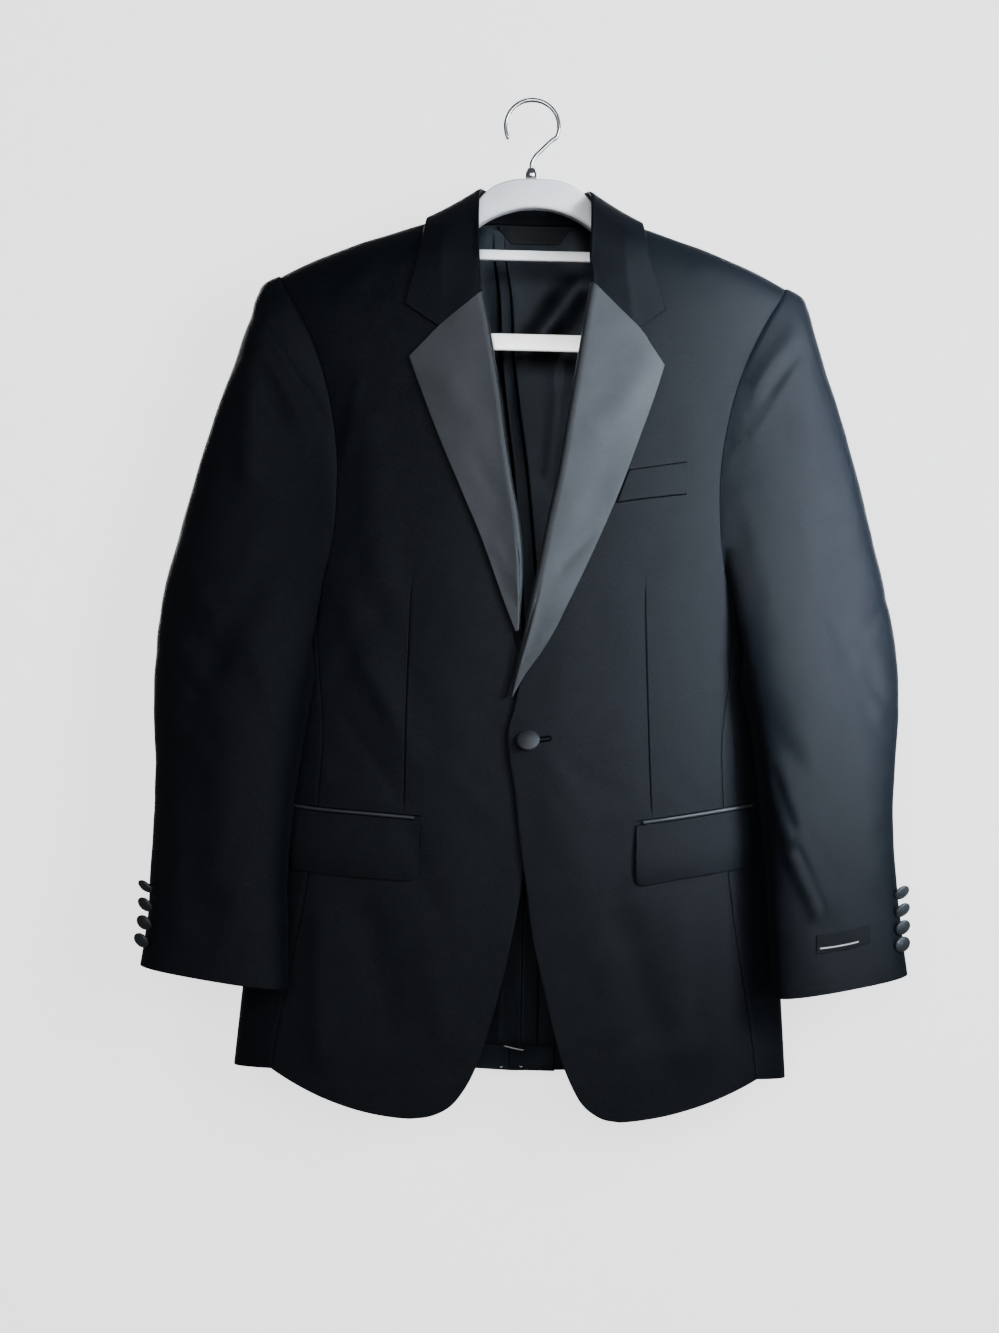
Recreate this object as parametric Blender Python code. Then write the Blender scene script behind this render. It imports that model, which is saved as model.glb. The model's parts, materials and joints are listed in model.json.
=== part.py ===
"""A single-button tuxedo jacket with satin lapels, hanging on a moulded hanger.

Every piece of cloth is a wall lofted through rows of points. The rows lie on one shared surface,
the hanging body, so that neighbouring pieces meet along the same seam points. Lengths are in
millimetres until the mesh is made. X runs to the wearer's left, the front faces -Y, Z is up, and
the origin is the inside crown of the hanger's hook. side is -1 for the wearer's right, +1 for the left.
"""

import math

import bmesh
import bpy
import numpy as np
from mathutils import Matrix, Vector

MM = 0.001
RIGHT, LEFT = -1, 1
SIDE_NAME = {RIGHT: "right", LEFT: "left"}
FRONT, BACK = -1, 1


def table(columns, *rows):
    """A short table as a dictionary of named columns."""
    return dict(zip(columns.split(), np.array(rows, float).T))


# The hanging body.
CENTRE = 4.0  # x of the jacket's centre line
ROUNDNESS = 2.5  # power of the rounded sections, 2 for an ellipse
SHOULDER_DROP = 130.0  # height over which the chest rounds up into the shoulder line

BODY = table(
    "z half_width centre front back",
    (-60, 330, 4, 64, 58),
    (-120, 300, 4, 66, 60),
    (-165, 266, 4, 67, 60),
    (-200, 241, 4, 68, 60),
    (-250, 215, 4, 69, 60),
    (-300, 204, 4, 69, 60),
    (-350, 202, 4, 68, 58),
    (-400, 206, 4, 67, 56),
    (-450, 212, 4, 65, 53),
    (-500, 215, 4, 61, 49),
    (-560, 218, 3, 58, 46),
    (-640, 224, 2, 55, 45),
    (-740, 236, 1, 52, 46),
    (-910, 251, 0, 47, 47),
)
SHOULDER_LINE = table(
    "out front_z back_z",
    (0, -84, -55),
    (25, -86, -58),
    (45, -92, -70),
    (60, -99, -88),
    (72, -107, -107),
    (95, -113, -113),
    (130, -124.5, -124.5),
    (152, -131.5, -131.5),
    (170, -138.5, -138.5),
    (196, -149, -149),
    (226, -164, -164),
    (270, -192, -192),
)

# The seams that the body's pieces share. A row counts up from the hem: the hem is row 0, the
# armhole starts at row 15 and the shoulder seam is row 27.
ARMHOLE_ROW, TOP_ROW = 15, 27
BODY_ROWS = np.array([*range(TOP_ROW), TOP_ROW - 0.4, TOP_ROW])
CORNER_COLUMN = len(BODY_ROWS) - 1 - ARMHOLE_ROW  # of the sleeve, at the armhole's lower front corner
SIDE_COLUMNS = 6
SEAMS = table(
    "row front_out front_z back_out back_z",
    (0, 215, -868, 205, -874),
    (2, 211, -842, 201, -846),
    (5, 203, -796, 194, -798),
    (8, 186, -700, 182, -700),
    (10, 178, -626, 176, -626),
    (12, 176, -553, 176, -553),
    (13, 181, -507, 184, -505),
    (14, 182, -461, 193, -456),
    (15, 174, -421, 197, -410),
    (16, 169.5, -392, 186, -386),
    (17, 167.8, -362, 177, -361),
    (18, 168, -333, 172, -333),
    (19, 171, -305, 172, -304),
    (20, 176, -279, 175, -278),
    (21, 183, -253, 180, -253),
    (22, 191, -231, 187, -231),
    (23, 200, -212, 195, -212),
    (24, 209, -195, 204, -195),
    (25, 216.5, -183, 212, -183),
    (26, 222.5, -173, 219, -173),
    (27, 226, -164, 226, -164),
)
ARMPIT_DIP = 13.0  # the armhole's bottom lies this far under the seams beside it
HEM_BOW = {RIGHT: 9.0, LEFT: 7.0}  # the foreparts' hems curve down between seam and front edge
HEM_BOW_ROWS = 4.0

# The foreparts' inner edges: the round front corner, the front edge, the roll of the lapel and the
# neckline, by the same rows.
FRONT_EDGES = {
    RIGHT: table(
        "row x z",
        (0, -86, -906),
        (1, -68, -903),
        (2, -51, -894),
        (3, -38, -877),
        (4, -28, -855),
        (5, -19, -826),
        (6, -11, -795),
        (7, -3, -758),
        (8, 5, -710),
        (9, 9, -668),
        (10, 13, -628),
        (11, 14, -590),
        (12, 11, -552),
        (13, 4, -515),
        (14, -2, -481),
        (15, -1, -446),
        (16, -1, -414),
        (17, -5, -380),
        (18, -12, -346),
        (19, -18, -312),
        (20, -23, -278),
        (21, -29, -245),
        (22, -35, -213),
        (23, -41, -186),
        (24, -46.5, -160),
        (25, -53, -136),
        (26, -60, -118),
        (27, -68, -107),
    ),
    LEFT: table(
        "row x z",
        (0, 97, -905),
        (1, 81, -902),
        (2, 66, -892),
        (3, 56, -877),
        (4, 45, -852),
        (5, 36, -821),
        (6, 27, -786),
        (7, 17, -745),
        (8, 10, -700),
        (9, 3, -655),
        (10, -2, -615),
        (11, -8, -583),
        (12, -9, -555),
        (13, -4, -522),
        (14, 3, -484),
        (15, 10, -446),
        (16, 17, -408),
        (17, 23, -374),
        (18, 30, -339),
        (19, 35, -305),
        (20, 40, -270),
        (21, 45, -236),
        (22, 50, -203),
        (23, 54, -176),
        (24, 57.5, -152),
        (25, 62.5, -133),
        (26, 69, -117),
        (27, 76, -107),
    ),
}
LAPEL_ROWS = {RIGHT: (14, 23), LEFT: (12, 23)}  # from the lowest point of the lapel to the gorge
LAPEL_EDGES = {
    RIGHT: table(
        "row x z",
        (14, -3, -481),
        (15, -14, -455),
        (17, -35, -401),
        (19, -54, -358),
        (21, -77, -306),
        (22, -88, -279),
        (23, -102, -243),
    ),
    LEFT: table(
        "row x z",
        (12, -7, -553),
        (13, 4, -518),
        (14, 20, -492),
        (16, 53, -424),
        (18, 79, -362),
        (20, 98, -308),
        (22, 112, -266),
        (23, 118, -245),
    ),
}
NOTCH = {RIGHT: (-77, -217), LEFT: (96, -214)}
COLLAR_TIP = {RIGHT: (-107, -197), LEFT: (118.5, -197)}
BACK_NECK = table(
    "row out z",
    (23, 0, -97),
    (24, 24, -98),
    (25, 45, -101),
    (26, 62, -105),
    (27, 72, -107),
)
BACK_HEM_Z = -882.0
BACK_CENTRE = table(
    "row z",
    (0, BACK_HEM_Z),
    (5, -800),
    (8, -700),
    (12, -553),
    (15, -440),
    (19, -268),
    (23, -97),
)

# Walls and gaps.
WALL = 2.0
SATIN_WALL = 1.6
COLLAR_WALL = 2.2
LINING_WALL = 1.0
SEAM_GAP = 0.32
LAY_GAP = 0.5
LAP_LIFT = 1.35  # the lapped foreparts part by this on each side of the shared surface
LAP_REACH = (18.0, 70.0)

# The roll of the lapels and the collar: out from the roll line, and over the panel under it.
ROLL_PROFILE = table("out height", (3.0, -3.6), (1.0, -3.1), (0.0, -0.8), (1.4, 3.0), (4.6, 5.2))
PANEL_INSET = 4.0  # the panel's edge stays this far back inside the roll
LEAF_EDGE_LIFT = 2.7
LEAF_ROLL_LIFT = 5.2
LEAF_COLUMNS = 5

# The collar, by stations from the gorge (0) to the centre of the back (7).
COLLAR = table(
    "station stand_out stand_y stand_z roll_out roll_y roll_z fall_out fall_y fall_z",
    (0, 50, -62, -186, 47, -69, -184, 111, -62, -197),
    (1, 52, -50, -152, 48.5, -62, -154, 101, -53, -157),
    (2, 57, -36, -128, 50, -45, -119, 97, -42, -135),
    (3, 64.5, -18, -114, 50.5, -25, -95, 95, -24, -119),
    (4, 69, 0, -103.5, 49.5, -3, -80, 95, 2, -111),
    (5, 60, 26, -101, 43, 20, -77, 84, 32, -121),
    (6, 38, 42, -100, 27, 40, -76, 50, 52, -127),
    (7, 0, 46, -99.5, 0, 47.5, -76, 0, 60, -128),
)
COLLAR_STATIONS = 16  # on each side
STAND_HEIGHT = -5.3  # the stand lies inside the neckline
FOLD_PROFILE = table("across down", (-2.6, 3.0), (-1.8, 0.8), (0.0, 0.0), (1.8, 0.8), (2.6, 3.0))
FALL_LIFT, FALL_SWELL = 4.6, 2.0

# The sleeves. From the armhole to ring 9 each column is one curve. From there down a ring is an oval
# between its outer and inner edges, seen from the front, with its half depth.
BICEPS_RING, CUFF_RING = 9, 15
RING_COLUMNS = "ring outer_out outer_z outer_y inner_out inner_z inner_y depth"
SLEEVES = {
    RIGHT: table(
        RING_COLUMNS,
        (8, 320, -447, -2, 181, -486, -54, 44),
        (9, 327, -500, -7, 185, -524, -56, 42),
        (10, 329, -545, -12, 190, -557, -59, 38),
        (11, 326, -600, -18, 196, -604, -62, 34),
        (12, 326, -645, -24, 200, -647, -64, 32),
        (13, 327, -690, -30, 202, -692, -66, 30),
        (14, 328, -735, -37, 200, -740, -68, 28),
        (15, 333, -782, -44, 198, -790, -70, 26),
    ),
    LEFT: table(
        RING_COLUMNS,
        (8, 322, -447, -2, 186, -486, -54, 44),
        (9, 331, -495, -7, 193, -524, -56, 42),
        (10, 334, -538, -12, 201, -557, -59, 38),
        (11, 332, -593, -18, 208, -604, -62, 34),
        (12, 331, -640, -24, 212, -647, -64, 32),
        (13, 334, -685, -30, 216, -692, -66, 30),
        (14, 339, -730, -37, 219, -740, -68, 28),
        (15, 345, -774, -44, 223, -788, -70, 26),
    ),
}
CAP_OUTLINE = table(
    "z out",
    (-164, 226),
    (-169, 237),
    (-181, 246),
    (-202, 252),
    (-230, 261),
    (-272, 275),
    (-325, 290),
    (-388, 306),
    (-447, 321),
    (-500, 329),
)
# Where the columns that start at the armhole's lower front and back corners stand round the rings.
CORNER_TURNS = (172.0, 226.0)
CAP_LEAVE, CAP_ARRIVE = 0.34, 0.55  # how far the columns keep their direction, by their length
CAP_DROP, CAP_SWELL = 0.25, 0.3  # they leave the armhole a little downwards and away from the body
RING_SPREAD = 1.25  # the rings stand closer near the armhole
UNDERARM_LEAVE = 9.0
UNDERARM_RISE = 70.0  # above the armhole's bottom, over which the columns turn from short to long
SLEEVE_CLEAR = 6.0  # between the sleeve and the body beside it
ARMPIT_CLEAR = 1.6  # the same, close under the armhole
CLEAR_DEPTH = 45.0  # the sleeve hangs clear from this far under the armhole
BACK_SEAM_COLUMN = 2  # columns behind the top of the sleeve
FRONT_SEAM_COLUMN = 1  # columns behind the front corner of the armhole

# The largest folds, from end to end as seen from the front, on the front (-1) or the back (1).
FOLD_COLUMNS = "face x0 z0 x1 z1 width rise"
BODY_FOLDS = table(
    FOLD_COLUMNS,
    (-1, -138, -300, -122, -440, 17, 2.6),
    (-1, -150, -455, -95, -585, 15, 2.2),
    (-1, -128, -735, -108, -820, 17, -2.6),
    (-1, -176, -735, -168, -845, 18, 2.4),
    (-1, 150, -300, 132, -410, 16, 2.0),
    (-1, 96, -735, 122, -815, 17, -3.0),
    (-1, 150, -730, 158, -840, 20, 2.6),
    (-1, 40, -640, 78, -760, 20, 1.8),
    (1, -120, -190, -92, -330, 22, 2.6),
    (1, 126, -185, 100, -320, 22, 2.8),
    (1, -60, -430, 60, -452, 18, 2.2),
    (1, -90, -560, -110, -800, 24, 2.6),
    (1, 92, -590, 118, -820, 22, 2.4),
)
SLEEVE_FOLDS = {
    RIGHT: table(
        FOLD_COLUMNS,
        (-1, -241, -215, -238, -350, 13, 3.4),
        (-1, -226, -222, -180, -296, 11, 3.0),
        (-1, -236, -262, -196, -330, 13, -2.6),
        (-1, -214, -420, -262, -500, 15, -2.2),
        (-1, -300, -470, -262, -512, 13, -2.4),
        (-1, -250, -560, -248, -700, 20, 2.4),
        (1, -236, -230, -258, -380, 18, 3.0),
        (1, -292, -455, -240, -492, 15, -3.4),
        (1, -286, -520, -236, -545, 15, -2.8),
        (1, -262, -600, -268, -740, 20, 2.2),
    ),
    LEFT: table(
        FOLD_COLUMNS,
        (-1, 243, -206, 252, -440, 17, 3.2),
        (-1, 253, -470, 246, -660, 19, 2.8),
        (-1, 231, -218, 204, -254, 11, 2.4),
        (-1, 274, -462, 306, -520, 13, -3.2),
        (-1, 218, -590, 240, -642, 12, 3.0),
        (-1, 236, -655, 262, -704, 12, 3.0),
        (1, 240, -225, 264, -370, 18, 3.2),
        (1, 304, -450, 250, -486, 15, -3.2),
        (1, 300, -512, 246, -530, 15, -2.6),
        (1, 276, -590, 284, -735, 20, 2.4),
    ),
}
FOLD_FADE = (170.0, 196.0)  # the body's folds end before the side seams, by distance from the centre
CAP_FOLDS_FROM, CUFF_FOLDS_TO = (0, 2), (13.5, 15)  # the rings over which the sleeve's folds start and end
FOLD_WRAP = 1.6  # how far the folds of one face of a sleeve reach round its edges

# Pockets. Outlines are in the front view.
FLAP = {
    RIGHT: table(
        "out top_z bottom_z",
        (87, -644, -697),
        (130, -641.5, -696),
        (190, -638, -692),
        (200, -637, -691),
    ),
    LEFT: table(
        "out top_z bottom_z",
        (101, -644, -698),
        (140, -638, -690),
        (188, -630, -682),
        (204, -627.5, -679),
    ),
}
FLAP_CORNER = 9.0
FLAP_WALL, FLAP_LIFT = 2.0, 2.8
JET_HEIGHT, JET_WALL = 3.2, 1.2
WELT = table("out top_z bottom_z", (86, -336.5, -364), (100, -334, -361), (137, -327.5, -354.5))
WELT_WALL = 1.4
WELT_LEAN = 9.5  # the foot of its front end lies this much nearer the centre

# Back vent and lining.
VENT_TOP_Z, UNDERLAP_WIDTH = -655.0, 38.0
LINING_TOP_Z, LINING_HEM_Z = -103.0, -858.0
LINING_REACH = 130.0
LINING_LIFT = -2.9
LINING_NECK_FALL = 1.7
LINING_TUCK, LINING_SLOPE = 9.0, 30.0  # the lining ends this far under the neck, and more under the shoulders
PLEAT = table(
    "z x rise",
    (-858, 26, 1.0),
    (-500, 20, 2.0),
    (-409, 13, 4.0),
    (-336, 5, 6.0),
    (-225, -11, 8.0),
    (-160, -16, 7.0),
    (-125, -22, 1.5),
    (-103, -24, 0.0),
)
# The lining's columns, from the pleat (0) out to its sides, and the pleat's ridge on them.
LINING_COLUMNS = table(
    "share ridge",
    (-1, 0),
    (-0.72, 0),
    (-0.45, 0),
    (-0.28, 0),
    (-0.15, 0),
    (-0.06, 0.15),
    (-0.02, 0.85),
    (0, 1),
    (0.02, 0.3),
    (0.06, 0),
    (0.15, 0),
    (0.28, 0),
    (0.45, 0),
    (0.72, 0),
    (1, 0),
)
NECK_LABEL = table(
    "x top_z bottom_z",
    (-29, -104, -105.5),
    (-16, -104, -117),
    (29, -104, -117),
    (39, -104, -105.5),
)
LABEL_WALL = 0.8

# Buttons, turned about their axis from the seat up.
BUTTON_PROFILE = table("radius height", (0.78, 0), (1, 0.36), (0.9, 0.76), (0.52, 0.97), (0, 1))
FRONT_BUTTON = {"x": 9.0, "z": -572.0, "radius": 9.6, "height": 5.0, "steps": 24}
SLEEVE_BUTTON_SIZE = (6.6, 4.0, 12)  # radius, height, and steps round it
SLEEVE_BUTTON_COLUMN = 0.8  # in front of the sleeve's outer edge
SLEEVE_BUTTON_Z = {RIGHT: (-706, -722, -737.5, -753), LEFT: (-696, -711, -725.5, -740)}
BUTTON_GAP = 0.45
SLEEVE_LABEL = table("x top_z bottom_z", (258, -730.5, -746.5), (306, -721.5, -737.5))
SLEEVE_LABEL_RING = 13.5

# Hanger: the arch in the neck and the arms in the shoulders, by their heights.
HANGER = table(
    "out top under half_depth",
    (0, -70, -96, 7),
    (14, -70.4, -97.2, 7),
    (26, -72.5, -100.5, 7),
    (38, -78, -105.5, 7),
    (51, -90.5, -114, 7.5),
    (58, -101.5, -120, 7.5),
    (65, -112, -127, 7.5),
    (72, -117.5, -131, 8),
    (95, -117, -133, 9),
    (130, -128.6, -143.5, 9.5),
    (170, -142.5, -157, 9.5),
    (196, -153.2, -166, 8.5),
    (205, -158, -166, 6),
)
HANGER_CORNER = 3.0
BAR_GAP = 0.3
CROSSBAR = {"z": -138.5, "height": 9.0, "depth": 6.0}
TROUSER_BAR = {"height": 15.0, "depth": 6.0}
TROUSER_BAR_PATH = table(
    "out z",
    (0, -216.5),
    (160, -216.5),
    (178, -213.5),
    (190, -204),
    (196, -190),
    (198, -166.4),
)
BAR_CORNER = 1.5
BAR_TAPER = 0.45  # share of its height that the lower bar loses where it stands upright
BOSS = table("z radius", (-69.7, 5.5), (-64, 5.5), (-61.5, 4), (-59.8, 4))
HOOK_WIRE, HOOK_RADIUS = 2.0, 24.0  # radius of the wire, and of its middle line over the crown
HOOK_STEM = table("x z", (0, -59.5), (0, -56), (3, -49.5), (10, -42), (18, -34))
HOOK_TURNS = (-20.0, 205.0)
HOOK_CROWN_Z = -22.0  # the crown's centre


# ---------------------------------------------------------------- curves and the shared surface


def cubic(at, keys, values):
    """A smooth curve through a table's rows, read at the given keys."""
    order = np.argsort(keys)
    keys, values = np.asarray(keys, float)[order], np.asarray(values, float)[order]
    slopes = np.gradient(values, keys)
    at = np.clip(at, keys[0], keys[-1])
    i = np.clip(np.searchsorted(keys, at) - 1, 0, len(keys) - 2)
    step = keys[i + 1] - keys[i]
    t = (at - keys[i]) / step
    start = (1 + 2 * t) * (1 - t) ** 2 * values[i] + t * (1 - t) ** 2 * step * slopes[i]
    end = t * t * (3 - 2 * t) * values[i + 1] - t * t * (1 - t) * step * slopes[i + 1]
    return start + end


def read(rows, column, at):
    """A column of a table at the given keys. The key is the table's first column."""
    return cubic(at, rows[next(iter(rows))], rows[column])


def traced(rows, edge, side, at):
    """Points of a named edge, from its columns for out, y and z."""
    out, y, z = (read(rows, f"{edge}_{name}", at) for name in ("out", "y", "z"))
    return np.stack([CENTRE + side * out, y, z], axis=-1)


def ease(value, start, end):
    """0 at start, 1 at end, smooth between."""
    t = np.clip((value - start) / (end - start), 0, 1)
    return t * t * (3 - 2 * t)


def shoulder_z(x, face):
    return read(SHOULDER_LINE, "front_z" if face == FRONT else "back_z", np.abs(x - CENTRE))


def section(x, z, face):
    """How far across its half width, and how far up into the shoulder, a place on the body lies."""
    across = np.abs(x - read(BODY, "centre", z)) / read(BODY, "half_width", z)
    rise = np.clip(1 + (z - shoulder_z(x, face)) / SHOULDER_DROP, 0, None)
    depth = read(BODY, "front" if face == FRONT else "back", z)
    return across, rise, depth


def body_y(x, z, face):
    """y of the hanging body's surface, seen from its front or its back."""
    across, rise, depth = section(x, z, face)
    full = np.clip((1 - across**ROUNDNESS) * (1 - rise**ROUNDNESS), 0, None)
    return face * depth * full ** (1 / ROUNDNESS)


def fold_rise(folds, x, z, face):
    """Height of the folds on one face, as ridges and troughs along their lines."""
    total = np.zeros(np.broadcast(x, z).shape)
    for side_of, x0, z0, x1, z1, width, rise in zip(*folds.values()):
        run_x, run_z = x1 - x0, z1 - z0
        along = np.clip(((x - x0) * run_x + (z - z0) * run_z) / (run_x**2 + run_z**2), 0, 1)
        away = np.hypot(x - x0 - along * run_x, z - z0 - along * run_z)
        total = total + (side_of == face) * rise * np.exp(-((away / width) ** 2))
    return total


def on_body(x, z, face):
    folds = fold_rise(BODY_FOLDS, x, z, face) * (1 - ease(np.abs(x - CENTRE), *FOLD_FADE))
    return np.stack([x, body_y(x, z, face) + face * folds, z], axis=-1)


def level(points, face):
    """Negative inside the body, 0 on its surface, positive outside."""
    x, y, z = points[..., 0], points[..., 1], points[..., 2]
    across, rise, depth = section(x, z, face)
    return np.abs(y / depth) ** ROUNDNESS - (1 - across**ROUNDNESS) * (1 - rise**ROUNDNESS)


def slope_of_level(points, face):
    step = 0.05
    slopes = [level(points + m, face) - level(points - m, face) for m in np.eye(3) * step]
    return np.stack(slopes, axis=-1) / (2 * step)


def body_normal(points, face):
    slope = slope_of_level(points, face)
    return slope / np.linalg.norm(slope, axis=-1, keepdims=True)


def height_over_body(points, face):
    slope = slope_of_level(points, face)
    return level(points, face) / np.linalg.norm(slope, axis=-1)


def lifted(points, height, face):
    """Points of the body's surface moved out by a height."""
    return points + body_normal(points, face) * np.broadcast_to(height, points.shape[:-1])[..., None]


def both_faces(function, points):
    """Reads a function of the body on the face that each point is nearer to."""
    front = function(points, FRONT)
    back = function(points, BACK)
    nearer = points[..., 1] < 0
    return np.where(nearer[..., None] if front.ndim == points.ndim else nearer, front, back)


def pushed_clear(points, clearance, rounds=4):
    """Points moved out of the body until they clear it by a distance."""
    points = points.copy()
    for _ in range(rounds):
        short = np.clip(clearance - both_faces(height_over_body, points), 0, None)
        points += both_faces(body_normal, points) * short[..., None]
    return points


def at_height(points, height, rounds=5):
    """Points moved to a height over the body."""
    points = points.copy()
    for _ in range(rounds):
        off = height - both_faces(height_over_body, points)
        points += both_faces(body_normal, points) * off[..., None]
    return points


# ---------------------------------------------------------------- meshes from rows of points


def grid_normals(points):
    """Normals of a grid of points, by the cross of its rows and columns."""
    down, along = np.gradient(points, axis=0), np.gradient(points, axis=1)
    normal = np.cross(along, down)
    return normal / np.maximum(np.linalg.norm(normal, axis=-1, keepdims=True), 1e-9)


def unit(vectors):
    return vectors / np.linalg.norm(vectors, axis=-1, keepdims=True)


def drawn_in(points, sides, gap=SEAM_GAP / 2):
    """Pulls the named edges of a grid back along its surface, to leave a seam's gap."""
    points = points.copy()
    if "first_row" in sides:
        points[0] += unit(points[1] - points[0]) * gap
    if "last_row" in sides:
        points[-1] += unit(points[-2] - points[-1]) * gap
    if "first_column" in sides:
        points[:, 0] += unit(points[:, 1] - points[:, 0]) * gap
    if "last_column" in sides:
        points[:, -1] += unit(points[:, -2] - points[:, -1]) * gap
    return points


def mesh_object(name, points, faces, material, collection):
    mesh = bpy.data.meshes.new(name)
    mesh.from_pydata([Vector(p) * MM for p in points], [], faces)
    shape = bmesh.new()
    shape.from_mesh(mesh)
    bmesh.ops.recalc_face_normals(shape, faces=shape.faces)
    if shape.calc_volume(signed=True) < 0:
        bmesh.ops.reverse_faces(shape, faces=shape.faces)
    shape.to_mesh(mesh)
    shape.free()
    mesh.materials.append(material)
    made = bpy.data.objects.new(name, mesh)
    collection.objects.link(made)
    return made


def wall(name, outer, normals, thickness, material, collection):
    """A sheet of cloth as a closed wall: the outer points, the inner points and the rim."""
    inner = outer - normals * thickness
    rows, columns = outer.shape[:2]
    points = np.concatenate([outer.reshape(-1, 3), inner.reshape(-1, 3)])
    under = rows * columns
    faces = []
    for i in range(rows - 1):
        for j in range(columns - 1):
            a = i * columns + j
            face = (a, a + 1, a + columns + 1, a + columns)
            faces.append(face)
            faces.append(tuple(under + k for k in reversed(face)))
    border = [j for j in range(columns)]
    border += [i * columns + columns - 1 for i in range(1, rows)]
    border += [(rows - 1) * columns + j for j in range(columns - 2, -1, -1)]
    border += [i * columns for i in range(rows - 2, 0, -1)]
    for a, b in zip(border, border[1:] + border[:1]):
        faces.append((b, a, under + a, under + b))
    return mesh_object(name, points, faces, material, collection)


def lofted(name, rings, material, collection):
    """A solid through closed rings of equal count, with flat caps."""
    count = len(rings[0])
    points = [p for ring in rings for p in ring]
    faces = []
    for i in range(len(rings) - 1):
        for j in range(count):
            a, b = i * count + j, i * count + (j + 1) % count
            faces.append((a, b, b + count, a + count))
    faces.append(tuple(range(count)))
    faces.append(tuple(range((len(rings) - 1) * count, len(rings) * count)))
    return mesh_object(name, points, faces, material, collection)


# ---------------------------------------------------------------- body pieces


def lap_lift(side, points):
    """The foreparts part where they lap under the button, the left one over the right."""
    near = 1 - ease(np.abs(points[..., 0] - CENTRE), *LAP_REACH)
    return side * LAP_LIFT * near


def rows_between(row, inner_x, inner_z, outer_x, outer_z, share, face):
    """Rows from the inner edge to the outer seam. The top ones follow the shoulder line's shape."""
    x = inner_x[:, None] * (1 - share) + outer_x[:, None] * share
    inner_line, outer_line = shoulder_z(inner_x, face), shoulder_z(outer_x, face)
    straight_line = inner_line[:, None] * (1 - share) + outer_line[:, None] * share
    straight = inner_z[:, None] * (1 - share) + outer_z[:, None] * share
    follow = ease(row, ARMHOLE_ROW, TOP_ROW)[:, None]
    return x, straight + (shoulder_z(x, face) - straight_line) * follow


def front_grid(side, columns=11):
    """Points of a forepart's surface and its normals."""
    row = BODY_ROWS
    share = np.linspace(0, 1, columns + 1)
    edge = FRONT_EDGES[side]
    lapel_from = LAPEL_ROWS[side][0]
    inset = PANEL_INSET * ease(row, lapel_from - 1, lapel_from)
    inner_x = read(edge, "x", row) + side * inset
    outer_x = CENTRE + side * read(SEAMS, "front_out", row)
    outer_z = read(SEAMS, "front_z", row)
    x, z = rows_between(row, inner_x, read(edge, "z", row), outer_x, outer_z, share, FRONT)
    bow = HEM_BOW[side] * (1 - ease(row, 0, HEM_BOW_ROWS))
    z = z - bow[:, None] * 4 * share * (1 - share)
    points = on_body(x, z, FRONT)
    normals = body_normal(points, FRONT)
    return points + normals * lap_lift(side, points)[..., None], normals


def front(side, material, collection):
    points, normals = front_grid(side)
    points = drawn_in(points, ("last_column", "last_row"))
    return wall(f"front_{SIDE_NAME[side]}", points, normals, WALL, material, collection)


def side_grid(side, columns=SIDE_COLUMNS):
    """Rows that run round the side from the forepart's seam to the back's."""
    row = np.arange(ARMHOLE_ROW + 1.0)
    share = np.linspace(0, 1, columns + 1)
    front_z, back_z = read(SEAMS, "front_z", row), read(SEAMS, "back_z", row)
    turns = []
    for name, z in (("front_out", front_z), ("back_out", back_z)):
        across = section(CENTRE + side * read(SEAMS, name, row), z, FRONT)[0]
        turns.append(np.arccos(np.clip(across, 0, 1) ** (ROUNDNESS / 2)))
    turn = turns[0][:, None] * (1 - share) - turns[1][:, None] * share
    z = front_z[:, None] * (1 - share) + back_z[:, None] * share
    dip = ease(row, ARMHOLE_ROW - 2, ARMHOLE_ROW) * ARMPIT_DIP
    z = z - dip[:, None] * np.sin(math.pi * share)
    x = read(BODY, "centre", z) + side * read(BODY, "half_width", z) * np.cos(turn) ** (2 / ROUNDNESS)
    depth = np.where(turn > 0, -read(BODY, "front", z), read(BODY, "back", z))
    y = depth * np.abs(np.sin(turn)) ** (2 / ROUNDNESS)
    points = np.stack([x, y, z], axis=-1)
    return points, both_faces(body_normal, points)


def side_panel(side, material, collection):
    points, normals = side_grid(side)
    points = drawn_in(points, ("first_column", "last_column"))
    return wall(f"side_panel_{SIDE_NAME[side]}", points, normals, WALL, material, collection)


def back_grid(side, columns=9):
    """Points of a back's surface and its normals. Its rows end at the side seam and the armhole."""
    row = BODY_ROWS
    share = np.linspace(0, 1, columns + 1)
    neck_row = BACK_NECK["row"][0]
    inner_z = np.where(row < neck_row, read(BACK_CENTRE, "z", row), read(BACK_NECK, "z", row))
    inner_x = CENTRE + side * np.where(row < neck_row, 0, read(BACK_NECK, "out", row))
    outer_x = CENTRE + side * read(SEAMS, "back_out", row)
    x, z = rows_between(row, inner_x, inner_z, outer_x, read(SEAMS, "back_z", row), share, BACK)
    points = on_body(x, z, BACK)
    return points, body_normal(points, BACK)


def back(side, material, collection):
    points, normals = back_grid(side)
    points = drawn_in(points, ("first_column", "last_column", "last_row"))
    return wall(f"back_{SIDE_NAME[side]}", points, normals, WALL, material, collection)


def body_patch(x, z, height, face):
    """A grid over part of the body, at a height over its surface."""
    points = on_body(x, z, face)
    return lifted(points, height, face), body_normal(points, face)


def vent_underlap(material, collection):
    """The right back's extension, which lies inside the left back under the vent."""
    z = np.linspace(BACK_HEM_Z + 1, VENT_TOP_Z, 9)[:, None] * np.ones(3)
    x = CENTRE + 1 + np.linspace(0, UNDERLAP_WIDTH, 3) * np.ones((9, 1))
    points, normals = body_patch(x, z, -WALL - LAY_GAP, BACK)
    return wall("vent_underlap", points, normals, WALL, material, collection)


# ---------------------------------------------------------------- sleeves


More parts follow.
